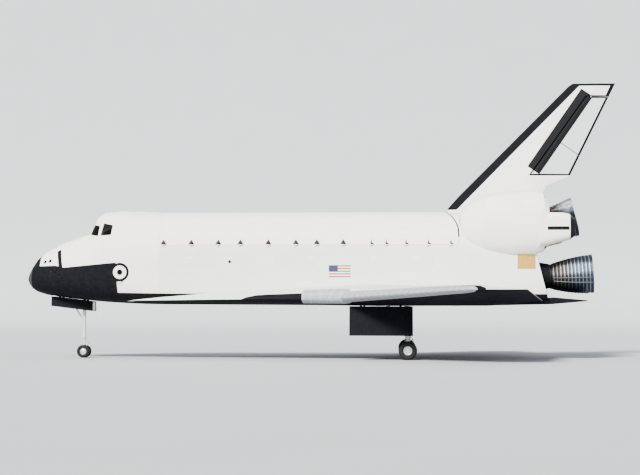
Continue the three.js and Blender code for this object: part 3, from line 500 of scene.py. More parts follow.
class Paint:
    """The node tree of one finish. Its patterns are in inches: station, offset and height."""

    def __init__(self, name, **sockets):
        self.material = bpy.data.materials.new(name)
        self.material.use_nodes = True
        self.nodes = self.material.node_tree.nodes
        self.shader = next(node for node in self.nodes if node.type == "BSDF_PRINCIPLED")
        for socket, value in sockets.items():
            self.shader.inputs[socket.replace("_", " ")].default_value = value
        coordinates = self.nodes.new("ShaderNodeTexCoord")
        self.position = coordinates.outputs["Object"]
        x, y, z = self.parts(self.position)
        self.station = self.math("MULTIPLY_ADD", x, 1 / INCH, MIDDLE)
        self.offset = self.math("DIVIDE", y, INCH)
        self.height = self.math("MULTIPLY_ADD", z, 1 / INCH, GROUND)
        self.facing = [self.math("ABSOLUTE", part) for part in self.parts(coordinates.outputs["Normal"])]

    def feed(self, socket, value):
        """Links a node's output to a socket, or sets a plain value on it."""
        if isinstance(value, bpy.types.NodeSocket):
            self.material.node_tree.links.new(value, socket)
        else:
            socket.default_value = value

    def parts(self, vector):
        """The three numbers of a vector."""
        node = self.nodes.new("ShaderNodeSeparateXYZ")
        self.feed(node.inputs[0], vector)
        return list(node.outputs)

    def math(self, operation, *values):
        """The result of one of the Math node's operations."""
        node = self.nodes.new("ShaderNodeMath")
        node.operation = operation
        for socket, value in zip(node.inputs, values):
            self.feed(socket, value)
        return node.outputs[0]

    def every(self, *masks):
        """1 where all the masks are 1."""
        result = masks[0]
        for mask in masks[1:]:
            result = self.math("MULTIPLY", result, mask)
        return result

    def either(self, *masks):
        """1 where any of the masks is 1."""
        result = masks[0]
        for mask in masks[1:]:
            result = self.math("MAXIMUM", result, mask)
        return result

    def neither(self, mask):
        return self.math("SUBTRACT", 1.0, mask)

    def above(self, value, level, soft=0.15):
        """0 below a level and 1 above it, with an edge as soft as stated."""
        shifted = self.math("SUBTRACT", value, level)
        node = self.nodes.new("ShaderNodeMapRange")
        self.feed(node.inputs["Value"], shifted)
        node.inputs["From Min"].default_value = -soft
        node.inputs["From Max"].default_value = soft
        return node.outputs["Result"]

    def below(self, value, level, soft=0.15):
        return self.neither(self.above(value, level, soft))

    def band(self, value, low, high, soft=0.15):
        return self.every(self.above(value, low, soft), self.below(value, high, soft))

    def line(self, value, points):
        """A height read along straight stretches between (value, height) points."""
        (low, _), (high, _) = points[0], points[-1]
        floor = min(point[1] for point in points)
        reach = max(point[1] for point in points) - floor or 1
        share = self.math("DIVIDE", self.math("SUBTRACT", value, low), high - low)
        node = self.nodes.new("ShaderNodeValToRGB")
        ramp = node.color_ramp
        while len(ramp.elements) < len(points):
            ramp.elements.new(0.5)
        for element, (key, level) in zip(ramp.elements, points):
            element.position = (key - low) / (high - low)
            element.color = (*([(level - floor) / reach] * 3), 1)
        self.feed(node.inputs[0], share)
        return self.math("MULTIPLY_ADD", node.outputs[0], reach, floor)

    def noise(self, size, detail=2.0, stretch=(1, 1, 1)):
        """Noise whose patches are about size inches across, longer along each axis by stretch."""
        place = self.nodes.new("ShaderNodeMapping")
        place.inputs["Scale"].default_value = [1 / (size * INCH * s) for s in stretch]
        self.feed(place.inputs["Vector"], self.position)
        node = self.nodes.new("ShaderNodeTexNoise")
        node.inputs["Scale"].default_value = 1.0
        node.inputs["Detail"].default_value = detail
        self.feed(node.inputs["Vector"], place.outputs[0])
        return node.outputs["Fac"]

    def seam(self, value, pitch, gap, shift=0.0):
        """1 on the lines that repeat every pitch inches."""
        turn = self.math("FRACT", self.math("DIVIDE", self.math("ADD", value, shift), pitch))
        away = self.math("ABSOLUTE", self.math("SUBTRACT", turn, 0.5))
        return self.above(away, 0.5 - gap / pitch / 2, gap / pitch / 3)

    def cells(self, first, second, pitch_a, pitch_b):
        """A random value for each cell of a grid."""
        node = self.nodes.new("ShaderNodeCombineXYZ")
        self.feed(node.inputs[0], self.math("FLOOR", self.math("DIVIDE", first, pitch_a)))
        self.feed(node.inputs[1], self.math("FLOOR", self.math("DIVIDE", second, pitch_b)))
        random = self.nodes.new("ShaderNodeTexWhiteNoise")
        self.feed(random.inputs["Vector"], node.outputs[0])
        return random.outputs["Value"]

    def across(self):
        """The coordinate that runs round the body: the offset on tops and bottoms, the height on sides."""
        flat = self.math("GREATER_THAN", self.facing[2], 0.6)
        return self.choose(flat, self.height, self.offset)

    def choose(self, mask, first, second):
        """The first value where the mask is 0, and the second where it is 1."""
        node = self.nodes.new("ShaderNodeMix")
        self.feed(node.inputs[0], mask)
        self.feed(node.inputs[2], first)
        self.feed(node.inputs[3], second)
        return node.outputs[0]

    def mix(self, mask, first, second):
        """The first colour where the mask is 0, and the second where it is 1."""
        node = self.nodes.new("ShaderNodeMix")
        node.data_type = "RGBA"
        self.feed(node.inputs[0], mask)
        for socket, value in ((node.inputs[6], first), (node.inputs[7], second)):
            self.feed(socket, value if isinstance(value, bpy.types.NodeSocket) else (*value, 1))
        return node.outputs[2]

    def shade(self, colour, mask, low, high):
        """A colour made darker or lighter by a mask, from low times its value to high times."""
        node = self.nodes.new("ShaderNodeHueSaturation")
        self.feed(node.inputs["Color"], colour if isinstance(colour, bpy.types.NodeSocket) else (*colour, 1))
        self.feed(node.inputs["Value"], self.math("MULTIPLY_ADD", mask, high - low, low))
        return node.outputs[0]

    def raised(self, relief, distance, strength=0.6):
        """A bump from relief, whose full height is distance in inches."""
        node = self.nodes.new("ShaderNodeBump")
        node.inputs["Strength"].default_value = strength
        node.inputs["Distance"].default_value = distance * INCH
        self.feed(node.inputs["Height"], relief)
        return node.outputs[0]

    def done(self, colour, roughness=None, normal=None):
        """Feeds the shader and gives the material."""
        self.feed(self.shader.inputs["Base Color"], colour)
        if roughness is not None:
            self.feed(self.shader.inputs["Roughness"], roughness)
        if normal is not None:
            self.feed(self.shader.inputs["Normal"], normal)
        return self.material


def colour(name):
    """One of the colours that the panel holds."""
    return tuple(getattr(bpy.context.scene.orbiter_colours, name))


def tile_pattern(paint, pitch=6.0, gap=0.16):
    """The seams between tiles, a random value for each tile, and the coordinate across the body."""
    across = paint.across()
    seams = paint.either(paint.seam(paint.station, pitch, gap), paint.seam(across, pitch, gap))
    return seams, paint.cells(paint.station, across, pitch, pitch), across


def white_tiles(paint, tint, patch, contrast, stain, seams, depth):
    """White tiles or felt: patches of slightly other whites, long stains, and seams as dark as depth."""
    light = paint.shade(colour(tint), patch, contrast, 1.01)
    light = paint.shade(light, stain, 0.95, 1.03)
    return paint.mix(paint.math("MULTIPLY", seams, depth), light, colour("seam"))


def black_tiles(paint, tile, seams, dusty):
    """Black tiles, each of its own grey, with darker seams and perhaps a little dust."""
    dark = paint.shade(colour("tile_black"), tile, 0.7, 1.5)
    if dusty:
        dark = paint.mix(paint.math("MULTIPLY", paint.noise(30, 5), 0.02), dark, colour("ash"))
    return paint.mix(paint.math("MULTIPLY", seams, 0.5), dark, colour("gap_black"))


def tile_surface(paint, shown, tile, seams):
    """Finishes a tiled surface, with each tile's roughness and height by its random value."""
    relief = paint.math("SUBTRACT", paint.math("MULTIPLY", tile, 0.3), seams)
    return paint.done(shown, paint.math("MULTIPLY_ADD", tile, 0.15, 0.6), paint.raised(relief, 0.12))


def tiled(name, black, white="tile_white"):
    """Ceramic tiles, white and black. black takes the paint and gives the mask of the black ones."""
    paint = Paint(name, Specular_IOR_Level=0.12)
    seams, tile, across = tile_pattern(paint)
    patch = paint.cells(paint.station, across, 36.0, 30.0)
    light = white_tiles(paint, white, patch, 0.985, paint.noise(90, 4, (3, 1, 0.5)), seams, 0.35)
    shown = paint.mix(black(paint), light, black_tiles(paint, tile, seams, True))
    return tile_surface(paint, shown, tile, seams)


def mid_fuselage(name):
    """The mid fuselage: felt sides, a black tiled belly, the banner and the lined payload bay."""
    paint = Paint(name, Specular_IOR_Level=0.12)
    seams, tile, across = tile_pattern(paint)
    panel = paint.cells(paint.station, across, 48.0, 30.0)
    light = white_tiles(paint, "side_white", panel, 0.97, paint.noise(60, 4, (2, 1, 0.4)), seams, 0.22)
    shown = paint.mix(side_black(paint), light, black_tiles(paint, tile, seams, False))
    cloth = paint.shade(colour("lining"), paint.noise(14, 4), 0.85, 1.08)
    shown = paint.mix(bay_lining(paint), banner(paint, shown), cloth)
    return tile_surface(paint, shown, tile, seams)


def quilted(name, black, lining=None):
    """Felt and quilted blankets in large white panels, sewn in a fine grid, perhaps with a lining."""
    paint = Paint(name, Specular_IOR_Level=0.2, Sheen_Weight=0.15)
    across = paint.across()
    length, width, aft, up = 30.0, 24.0, 7, 3
    seams = paint.either(paint.seam(paint.station, length, 0.3, aft), paint.seam(across, width, 0.3, up))
    stitches = paint.either(paint.seam(paint.station, 3.0, 0.5), paint.seam(across, 3.0, 0.5))
    panel = paint.cells(paint.math("ADD", paint.station, aft), paint.math("ADD", across, up), length, width)
    shown = paint.shade(colour("blanket_white"), panel, 0.972, 1.012)
    shown = paint.shade(shown, paint.noise(70, 4, (2.5, 1, 0.6)), 0.965, 1.02)
    shown = paint.mix(paint.math("MULTIPLY", seams, 0.3), shown, colour("seam"))
    shown = paint.mix(black(paint), shown, colour("tile_black"))
    if lining is not None:
        shown = paint.mix(lining(paint), shown, colour("composite"))
    relief = paint.math("SUBTRACT", paint.noise(2.5, 3), paint.either(stitches, seams))
    return paint.done(shown, paint.math("MULTIPLY_ADD", panel, 0.1, 0.75), paint.raised(relief, 0.1, 0.4))


# Where the black lies, and where the linings do. Each takes the paint and gives a mask.


def distance_from(paint, first, second, centre):
    """The distance from a centre in the plane of two coordinates."""
    a = paint.math("SUBTRACT", first, centre[0])
    b = paint.math("SUBTRACT", second, centre[1])
    return paint.math("SQRT", paint.math("ADD", paint.math("POWER", a, 2.0), paint.math("POWER", b, 2.0)))


def from_hatch(paint):
    """The distance from the middle of the crew hatch, seen from the side."""
    return distance_from(paint, paint.station, paint.height, (HATCH["station"], HATCH["height"]))


def nose_black(paint):
    return paint.below(paint.station, NOSE_BLACK_END)


def side_black(paint):
    """The belly and the lower sides."""
    return paint.below(paint.height, paint.line(paint.station, BELLY_LINE))


def forward_black(paint):
    """The belly, the front of the nose, the strap behind it and the ring round the hatch."""
    leaning = paint.math("MULTIPLY_ADD", paint.height, STRAP["lean"], paint.station)
    strap = paint.every(paint.band(leaning, *STRAP["edges"]), paint.below(paint.height, STRAP["top"]),
                        paint.below(paint.station, STRAP["end"]))
    ring = paint.every(paint.below(from_hatch(paint), HATCH["ring"][1]), paint.below(paint.offset, 0))
    return paint.either(side_black(paint), nose_black(paint), strap, ring)


def hatch_black(paint):
    """The hatch's black edge and the frame of its window."""
    reach = from_hatch(paint)
    return paint.either(paint.above(reach, HATCH["ring"][0]), paint.band(reach, *HATCH["window"]))


def door_end_shadow(paint):
    """A painted shadow: the dark gap line where the payload doors end, which curves forward as it climbs to
    the fin's root.
    """
    out = paint.math("ABSOLUTE", paint.offset)
    reach = distance_from(paint, out, paint.height, DOOR_PIVOT)
    past = paint.math("SUBTRACT", paint.station, paint.line(reach, DOOR_END))
    outside = paint.every(paint.below(paint.facing[0], 0.6), paint.above(reach, 20))
    # Black along this line is painted shadow of the gap at the doors' end
    return paint.every(paint.band(past, -1.6, 1.9), paint.band(paint.height, 414, 512), outside)


def aft_black_and_door_shadow(paint):
    """The belly, the leaning base and the painted shadow line at the payload doors' end."""
    base = paint.math("SUBTRACT", paint.line(paint.height, BASE_LINE), 0.6)
    return paint.either(side_black(paint), paint.above(paint.station, base), door_end_shadow(paint))


def wing_black(paint):
    """The wing's lower side and a border along its leading edge."""
    out = paint.math("ABSOLUTE", paint.offset)
    root, height = WING_ROOT
    middle = paint.math("MULTIPLY_ADD", out, math.tan(DIHEDRAL), height - root * math.tan(DIHEDRAL))
    rear = paint.math("ADD", paint.line(out, WING_EDGE), paint.line(out, WING_BORDER))
    border = paint.every(paint.below(paint.station, rear), paint.above(out, BORDER_ROOT))
    return paint.either(paint.below(paint.height, middle), border)


def fin_black_and_gap_shade(paint):
    """The fin's black front, tip and rear edges and the ribbed strip ahead of the hinge, and painted shade on
    the faces behind it, in the pocket and under the tip.
    """
    front = paint.math("ADD", paint.line(paint.height, FIN["front"]), FIN["front_width"])
    edge = paint.every(paint.below(paint.station, front), paint.above(paint.height, FIN["root"]))
    tip = paint.above(paint.height, FIN["tip"])
    rear = paint.math("SUBTRACT", paint.line(paint.height, FIN["rear"]), FIN["rear_width"])
    back = paint.every(paint.above(paint.station, rear), paint.above(paint.height, FIN["rear_low"]))
    ahead, along = ahead_of_hinge(paint), along_hinge(paint)
    foot, head = seat_along(RUDDER["foot"]), seat_along(RUDDER["head"]) - 6
    strip = paint.every(paint.band(ahead, *FIN["strip"]), paint.band(along, foot, head), ribs(paint, along))
    # Painted shade: the pocket and the tip's underside face into the gap round the rudder and are painted
    # black
    pocket = paint.every(paint.band(ahead, *FIN["pocket"]), paint.above(along, foot),
                         paint.below(paint.height, FIN["pocket_top"]))
    under_tip_shade = paint.every(paint.below(ahead, -1), paint.band(paint.height, *FIN["under_tip_shade"]))
    return paint.either(edge, tip, back, pocket, under_tip_shade, strip)


def ribs(paint, along):
    """Fine pale lines across the dark strips beside the rudder's hinge."""
    return paint.neither(paint.math("MULTIPLY", paint.seam(along, 4.4, 0.7), 0.06))


def ahead_of_hinge(paint):
    """The distance ahead of the rudder's hinge, square to it."""
    hinge = paint.line(paint.height, [(height, hinge_station(height)) for height in (403, 903)])
    return paint.math("MULTIPLY", paint.math("SUBTRACT", hinge, paint.station), math.cos(HINGE_SWEEP))


def along_hinge(paint):
    """The distance up along the rudder's hinge."""
    return paint.math("ADD", paint.math("MULTIPLY", paint.station, math.sin(HINGE_SWEEP)),
                      paint.math("MULTIPLY", paint.height, math.cos(HINGE_SWEEP)))


def seat_along(height):
    """How far up along the hinge a height on the hinge line is."""
    return hinge_station(height) * math.sin(HINGE_SWEEP) + height * math.cos(HINGE_SWEEP)


def rudder_black(paint):
    """The ribbed strip behind the hinge, the trailing edge, the line between the panels, and both ends."""
    along = along_hinge(paint)
    front = paint.every(paint.above(ahead_of_hinge(paint), RUDDER["strip_end"]), ribs(paint, along),
                        paint.above(along, seat_along(RUDDER["foot"])))
    tail = paint.math("SUBTRACT", paint.line(paint.height, RUDDER["tail"]), RUDDER["tail_width"])
    middle = seat_along(RUDDER["parting"])
    parting = paint.band(along, middle - 0.9, middle + 0.9)
    low = paint.below(paint.height, RUDDER["low_edge"])
    high = paint.above(paint.height, RUDDER["high_edge"])
    return paint.either(front, paint.above(paint.station, tail), parting, low, high)


def pod_black_and_shadow(paint):
    """Painted shadow along the pod's front edge, and the black rear face of its thruster housing."""
    # The pod's front edge is painted black as the shadow of the gap where the pod meets the body
    front = paint.below(paint.station, 1312.5)
    rear = paint.every(paint.above(paint.station, 1573.5), paint.below(paint.height, 492))
    return paint.either(front, rear)


def hinge_black_and_door_shadow(paint):
    """The black hinge lugs that stand out from the skin of the payload doors, and the painted shadow along
    the doors' aft edge.
    """
    out = paint.math("ABSOLUTE", paint.offset)
    lugs = paint.every(paint.above(out, 105.35, 0.05), paint.band(paint.height, 416.6, 421))
    return paint.either(lugs, door_end_shadow(paint))


def door_lining(paint):
    around = distance_from(paint, paint.offset, paint.height, (0, DOOR["centre"]))
    return paint.below(around, DOOR["inner"] + 0.4, 0.1)


def bay_lining(paint):
    around = distance_from(paint, paint.offset, paint.height, (0, BAY["height"]))
    within = paint.every(paint.above(paint.station, CABIN_END - 1), paint.below(paint.station, BAY_END + 1))
    return paint.every(paint.below(around, BAY["radius"] + 0.5, 0.1), within)


def everywhere(paint):
    return paint.above(paint.height, -999)


def banner(paint, under):
    """A plain striped banner on each side, with a plain dark corner at its upper front."""
    outside = paint.above(paint.math("ABSOLUTE", paint.offset), 101)
    field = paint.every(paint.band(paint.station, BANNER["front"], BANNER["back"]),
                        paint.band(paint.height, BANNER["low"], BANNER["high"]), outside)
    stripe = (BANNER["high"] - BANNER["low"]) / BANNER["stripes"]
    down = paint.math("DIVIDE", paint.math("SUBTRACT", BANNER["high"], paint.height), stripe)
    red = paint.math("LESS_THAN", paint.math("FRACT", paint.math("DIVIDE", down, 2.0)), 0.5)
    corner = paint.every(paint.below(paint.station, BANNER_CORNER["back"]),
                         paint.above(paint.height, BANNER_CORNER["low"]))
    shown = paint.mix(paint.every(field, red), under, colour("banner"))
    shown = paint.mix(paint.every(field, paint.neither(red)), shown, colour("blanket_white"))
    return paint.mix(paint.every(field, corner), shown, colour("banner_corner"))


def carbon(name, tint, panels):
    """Grey reinforced carbon with a soft mottle and a faint cloth weave, in one piece or in swept panels."""
    paint = Paint(name, Specular_IOR_Level=0.4)
    mottle = paint.noise(12, 5)
    shown = paint.shade(colour(tint), mottle, 0.8, 1.2)
    if panels:
        width, glove_end = 19.5, 176
        out = paint.math("ABSOLUTE", paint.offset)
        swept = paint.math("MULTIPLY", paint.math("ADD", paint.station, out), math.sqrt(0.5))
        along = paint.choose(paint.above(out, glove_end), paint.station, swept)
        shown = paint.mix(paint.seam(along, width, 0.5), shown, colour("gap_black"))
        edge = paint.math("MULTIPLY", paint.seam(along, width, 3.2), 0.25)
        shown = paint.mix(edge, shown, colour("blanket_white"))
    weave = paint.either(paint.seam(paint.station, 0.8, 0.2), paint.seam(paint.offset, 0.8, 0.2))
    rough = paint.math("MULTIPLY_ADD", mottle, 0.25, 0.4)
    return paint.done(shown, rough, paint.raised(paint.math("SUBTRACT", mottle, weave), 0.04, 0.4))


def metal(name, tint, roughness, grain=3.0, metallic=1.0):
    """Bare or painted metal with handling marks."""
    paint = Paint(name, Metallic=metallic)
    wear = paint.noise(grain, 5)
    shown = paint.shade(colour(tint), wear, 0.85, 1.15)
    rough = paint.math("MULTIPLY_ADD", wear, 0.3, roughness - 0.1)
    return paint.done(shown, rough, paint.raised(wear, 0.02, 0.3))


def bell_finish(name, engine, kind, pitch):
    """Heat-tinted metal: dark bands between hoops, and fine cooling tubes that run down the bell."""
    paint = Paint(name, Metallic=0.85)
    place = paint.nodes.new("ShaderNodeMapping")
    turn = thrust_line(engine).rotation_difference(Vector(UP))
    place.inputs["Rotation"].default_value = turn.to_euler()
    place.inputs["Location"].default_value = -(turn.to_matrix() @ at(*engine["rim"]))
    paint.feed(place.inputs["Vector"], paint.position)
    x, y, z = paint.parts(place.outputs[0])
    ahead = paint.math("DIVIDE", z, -INCH)
    tubes = paint.math("SINE", paint.math("MULTIPLY", paint.math("ARCTAN2", y, x), 180.0))
    heat = paint.noise(9, 4)
    throat = paint.above(ahead, engine["shown"] * 0.55, 14)
    shown = paint.mix(throat, colour(kind["tint"]), colour("bell_brown"))
    shown = paint.shade(shown, heat, 0.55, 1.35)
    hoops = paint.math("MULTIPLY", paint.seam(ahead, pitch, 1.7), kind["shine"])
    shown = paint.mix(hoops, shown, colour("bell_hoop"))
    return paint.done(shown, paint.math("MULTIPLY_ADD", heat, 0.25, 0.28), paint.raised(tubes, 0.12, 0.5))


def rubber(name):
    """Tyre rubber with dust in its pores."""
    paint = Paint(name, Specular_IOR_Level=0.3)
    dust = paint.noise(6, 5)
    shown = paint.mix(paint.math("MULTIPLY", dust, 0.07), colour("rubber"), colour("ash"))
    rough = paint.math("MULTIPLY_ADD", dust, 0.2, 0.7)
    return paint.done(shown, rough, paint.raised(paint.noise(0.6, 3), 0.03, 0.4))


def glass(name):
    """Dark window glass with faint smears."""
    paint = Paint(name, Specular_IOR_Level=0.06)
    smear = paint.noise(20, 4)
    shown = paint.shade(colour("glass"), smear, 0.7, 1.5)
    return paint.done(shown, paint.math("MULTIPLY_ADD", smear, 0.2, 0.3), paint.raised(smear, 0.01, 0.2))


def cabin(name):
    """Painted cabin panels."""
    paint = Paint(name, Specular_IOR_Level=0.4)
    wear = paint.noise(7, 4)
    seams = paint.either(paint.seam(paint.height, 12, 0.25), paint.seam(paint.offset, 16, 0.25))
    shown = paint.mix(seams, paint.shade(colour("cabin"), wear, 0.85, 1.1), colour("gap_black"))
    return paint.done(shown, paint.math("MULTIPLY_ADD", wear, 0.2, 0.45), paint.raised(seams, 0.05, 0.5))


# How each finish is made: the function, and what it takes after the name
MAKERS = {
    "nose_carbon": (carbon, "carbon", False),
    "edge_carbon": (carbon, "edge_grey", True),
    "thruster_tiles": (tiled, nose_black),
    "forward_tiles": (tiled, forward_black),
    "hatch_tiles": (tiled, hatch_black),
    "mid_fuselage_skin": (mid_fuselage,),
    "aft_tiles": (tiled, aft_black_and_door_shadow, "side_white"),
    "wing_tiles": (tiled, wing_black, "wing_white"),
    "fin_tiles": (tiled, fin_black_and_gap_shade),
    "rudder_tiles": (tiled, rudder_black, "rudder_white"),
    "belly_tiles": (tiled, everywhere),
    "door_blanket": (quilted, hinge_black_and_door_shadow, door_lining),
    "pod_blanket": (quilted, pod_black_and_shadow),
    "gear_metal": (metal, "gear_grey", 0.45, 3.0, 0.3),
    "bright_metal": (metal, "steel", 0.3),
    "dark_metal": (metal, "iron", 0.5, 3.0, 0.7),
    "rim_metal": (metal, "steel", 0.38, 3.0, 0.6),
    "nozzle_metal": (metal, "nozzle", 0.35, 2.0, 0.8),
    "gold_panel": (metal, "gold", 0.45, 5.0, 0.5),
    "radiator": (metal, "radiator", 0.25, 10.0, 0.9),
    "black_trim": (metal, "tile_black", 0.6, 4.0, 0.0),
    "white_trim": (metal, "blanket_white", 0.6, 4.0, 0.0),
    "gasket": (metal, "gasket", 0.7, 4.0, 0.0),
    "tyre_rubber": (rubber,),
    "window_glass": (glass,),
    "cabin_grey": (cabin,),
}
FINISHES = {}


def finish(name):
    """A finish by its name, made once."""
    if name not in FINISHES:
        maker, *settings = MAKERS[name]
        FINISHES[name] = maker(name, *settings)
    return FINISHES[name]


# The panel's values


def colour_property(label, value):
    return bpy.props.FloatVectorProperty(name=label, description=f"Colour of the {label.lower()}", size=3,
                                         subtype="COLOR", min=0, max=1, default=value)


def size_property(label, description, value, **settings):
    return bpy.props.FloatProperty(name=label, description=description, default=value, **settings)


class OrbiterColours(bpy.types.PropertyGroup):
    """Colours of the orbiter's finishes."""

    tile_white: colour_property("White tiles", (0.86, 0.85, 0.81))
    blanket_white: colour_property("White blankets", (0.89, 0.87, 0.81))
    side_white: colour_property("Fuselage sides", (0.80, 0.81, 0.78))
    wing_white: colour_property("Wing upper side", (0.70, 0.71, 0.69))
    rudder_white: colour_property("Rudder panels", (0.63, 0.71, 0.68))
    tile_black: colour_property("Black tiles", (0.006, 0.0065, 0.0095))
    gap_black: colour_property("Gaps", (0.003, 0.003, 0.004))
    seam: colour_property("Seams", (0.42, 0.42, 0.40))
    ash: colour_property("Dust", (0.35, 0.34, 0.32))
    carbon: colour_property("Nose cap", (0.035, 0.037, 0.042))
    edge_grey: colour_property("Leading edges", (0.33, 0.34, 0.36))
    composite: colour_property("Door lining", (0.30, 0.32, 0.33))
    lining: colour_property("Bay lining", (0.62, 0.63, 0.58))
    radiator: colour_property("Radiators", (0.72, 0.76, 0.78))
    gear_grey: colour_property("Landing gear", (0.62, 0.64, 0.64))
    steel: colour_property("Bright metal", (0.58, 0.59, 0.60))
    iron: colour_property("Dark metal", (0.16, 0.17, 0.18))
    nozzle: colour_property("Thruster bells", (0.07, 0.072, 0.078))
    gold: colour_property("Umbilical panel", (0.56, 0.37, 0.12))
    bell_blue: colour_property("Bell metal", (0.06, 0.075, 0.11))
    bell_pale: colour_property("Orbital bells", (0.27, 0.31, 0.36))
    bell_brown: colour_property("Bell throat", (0.06, 0.05, 0.046))
    bell_hoop: colour_property("Bell hoops", (0.36, 0.38, 0.42))
    rubber: colour_property("Tyres", (0.012, 0.012, 0.0135))
    glass: colour_property("Windows", (0.007, 0.007, 0.008))
    cabin: colour_property("Cabin", (0.36, 0.38, 0.38))
    banner: colour_property("Banner stripes", (0.45, 0.12, 0.10))
    banner_corner: colour_property("Banner corner", (0.07, 0.08, 0.14))
    gasket: colour_property("Gaskets", (0.014, 0.014, 0.016))
    floor: colour_property("Floor", (0.46, 0.48, 0.50))


class OrbiterView(bpy.types.PropertyGroup):
    """Camera and stage."""

    lens: size_property("Lens", "Focal length of the camera", 86, unit="CAMERA")
    distance: size_property("Distance", "From the camera to the orbiter", 96.5, unit="LENGTH")
    eye: size_property("Eye height", "Height of the camera", 3.05, unit="LENGTH")
    ahead: size_property("Camera aft", "How far aft of the middle the camera stands", 4.84, unit="LENGTH")
    aim: size_property("Aim height", "Height that the camera looks at", 7.6, unit="LENGTH")
    floor: size_property("Floor", "Length of the floor's sides", 500, unit="LENGTH")
    wall: size_property("Wall", "How far behind the orbiter the floor turns up", 160, unit="LENGTH")


class OrbiterDetail(bpy.types.PropertyGroup):
    """Sizes and numbers of the fine pieces."""

    round_steps: bpy.props.IntProperty(name="Round steps", description="Faces round a bell or wheel", min=24,
                                       max=128, default=72)
    hoop_pitch: size_property("Hoop pitch", "Inches between a main bell's hoops", 8.6)
    band_pitch: size_property("Band pitch", "Inches between an orbital bell's hoops", 11)
    hinge_cover: size_property("Hinge cover", "Width of a door hinge's cover in inches", 15.0)


# Pieces. Each skin's finish and slot stand beside its node, for single nodes and for pairs.
SMOOTH = {
    "nose_cap": ("nose_carbon", "nose_carbon"),
    "forward_thruster_module": ("thruster_tiles", "thruster_tiles"),
    "forward_fuselage_lower": ("forward_tiles", "fuselage_tiles"),
    "forward_fuselage_upper": ("forward_tiles", "fuselage_tiles"),
    "side_hatch": ("hatch_tiles", "fuselage_tiles"),
    "hatch_window": ("window_glass", "window_glass"),
    "mid_fuselage": ("mid_fuselage_skin", "fuselage_tiles"),
    "aft_fuselage": ("aft_tiles", "fuselage_tiles"),
    "body_flap": ("belly_tiles", "belly_tiles"),
    "fin": ("fin_tiles", "fin_tiles"),
    "rudder_shaft": ("black_trim", "gear_metal"),
    "nose_leg": ("gear_metal", "gear_metal"),
    "nose_fork": ("gear_metal", "gear_metal"),
}
SMOOTH_PAIRS = {
    "payload_door": ("door_blanket", "fabric_blanket"),
    "orbital_pod": ("pod_blanket", "fabric_blanket"),
    "wing": ("wing_tiles", "wing_tiles"),
    "wing_leading_edge": ("edge_carbon", "edge_carbon"),
    "elevon_inboard": ("wing_tiles", "wing_tiles"),
    "elevon_outboard": ("wing_tiles", "wing_tiles"),
    "rudder_lower": ("rudder_tiles", "fin_tiles"),
    "rudder_upper": ("rudder_tiles", "fin_tiles"),
    "main_leg": ("gear_metal", "gear_metal"),
}


def body_of(node):
    """The body that a node of the frame rides on."""
    bodies = frame["record"]["behaviour"]["bodies"]
    return next(body for body, nodes in bodies.items() if node in nodes)


def merged_copy(node, name, flat=0.3):
    """A node's shape with its triangles merged, and made whole where they bend by less than flat degrees."""
    item = copied(frame["nodes"][node], name)
    with edited(item, mode="VERT"):
        bpy.ops.mesh.remove_doubles(threshold=2e-5)
        bpy.ops.mesh.dissolve_limited(angle_limit=math.radians(flat))
    return item


class ORBITER_OT_skins(bpy.types.Operator):
    """Covers the frame's fuselage, wings, fin, pods and legs with smooth, finished skins"""

    bl_idname = "orbiter.skins"
    bl_label = "Skins"

    def execute(self, context):
        smooth = dict(SMOOTH)
        for side in SIDES:
            smooth.update({f"{node}_{side}": value for node, value in SMOOTH_PAIRS.items()})
        for node, (name, slot) in smooth.items():
            item = merged_copy(node, node + "_skin")
            smoothed(finished(item, body_of(node), finish(name), 28))
            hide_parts(node)
        deck = frame["nodes"]["flight_deck"].data
        deck.materials.clear()
        deck.materials.append(finish("cabin_grey"))
        return {"FINISHED"}


def bell_profile(rows, shown, pitch, wall, hoop):
    """Half of a bell's section, from the closed throat along the outside with its hoops, and back inside."""
    outside = [(between(rows, 0), 0)]
    place = pitch / 2
    while place < shown - hoop * 2:
        for shift, rise in ((-hoop, 0), (-hoop * 0.5, hoop * 0.8), (hoop * 0.5, hoop * 0.8), (hoop, 0)):
            outside.append((between(rows, place + shift) + rise, -place - shift))
        place += pitch
    outside.append((between(rows, shown), -shown))
    lip = [(between(rows, 0) + hoop, 0.6), (between(rows, 0) - wall, 0.3)]
    inside = [(between(rows, ahead) - wall, -ahead) for ahead in range(6, int(shown) - 8, 6)]
    throat = [(inside[-1][0] * 0.6, 6 - shown), (0, 6 - shown)]
    return [(0, -shown), *outside[::-1], *lip, *inside, *throat]


def bell(node, engine, kind, pitch, steps):
    """One engine bell with its hoops, in its finish."""
    profile = bell_profile(kind["outline"], engine["shown"], pitch, kind["wall"], kind["hoop"])
    profile = [(max(radius, 0), along - kind["set_in"]) for radius, along in profile]
    item = lathe(profile, steps, at(*engine["rim"]), thrust_line(engine))
    item.name = node + "_metal"
    finished(item, "airframe", bell_finish(node, engine, kind, pitch), 30)
    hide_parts(node)


def bell_lines(engine):
    """Thin pipes that run down both sides of a main bell over its hoops."""
    axis, rim = thrust_line(engine), at(*engine["rim"])
    across = axis.cross(Vector(UP)).normalized()
    up = across.cross(axis)
    pipes = []
    for side in SIDES.values():
        for turn in (math.radians(-11), math.radians(-26)):
            out = across * side * math.cos(turn) + up * math.sin(turn)
            run = []
            for ahead in range(4, int(engine["shown"]) - 8, 10):
                radius = between(MAIN_BELL["outline"], ahead) + 2.0
                run.append(rim - axis * ahead * INCH + out * radius * INCH)
            pipes.append(rod(run, 0.75))
    return pipes


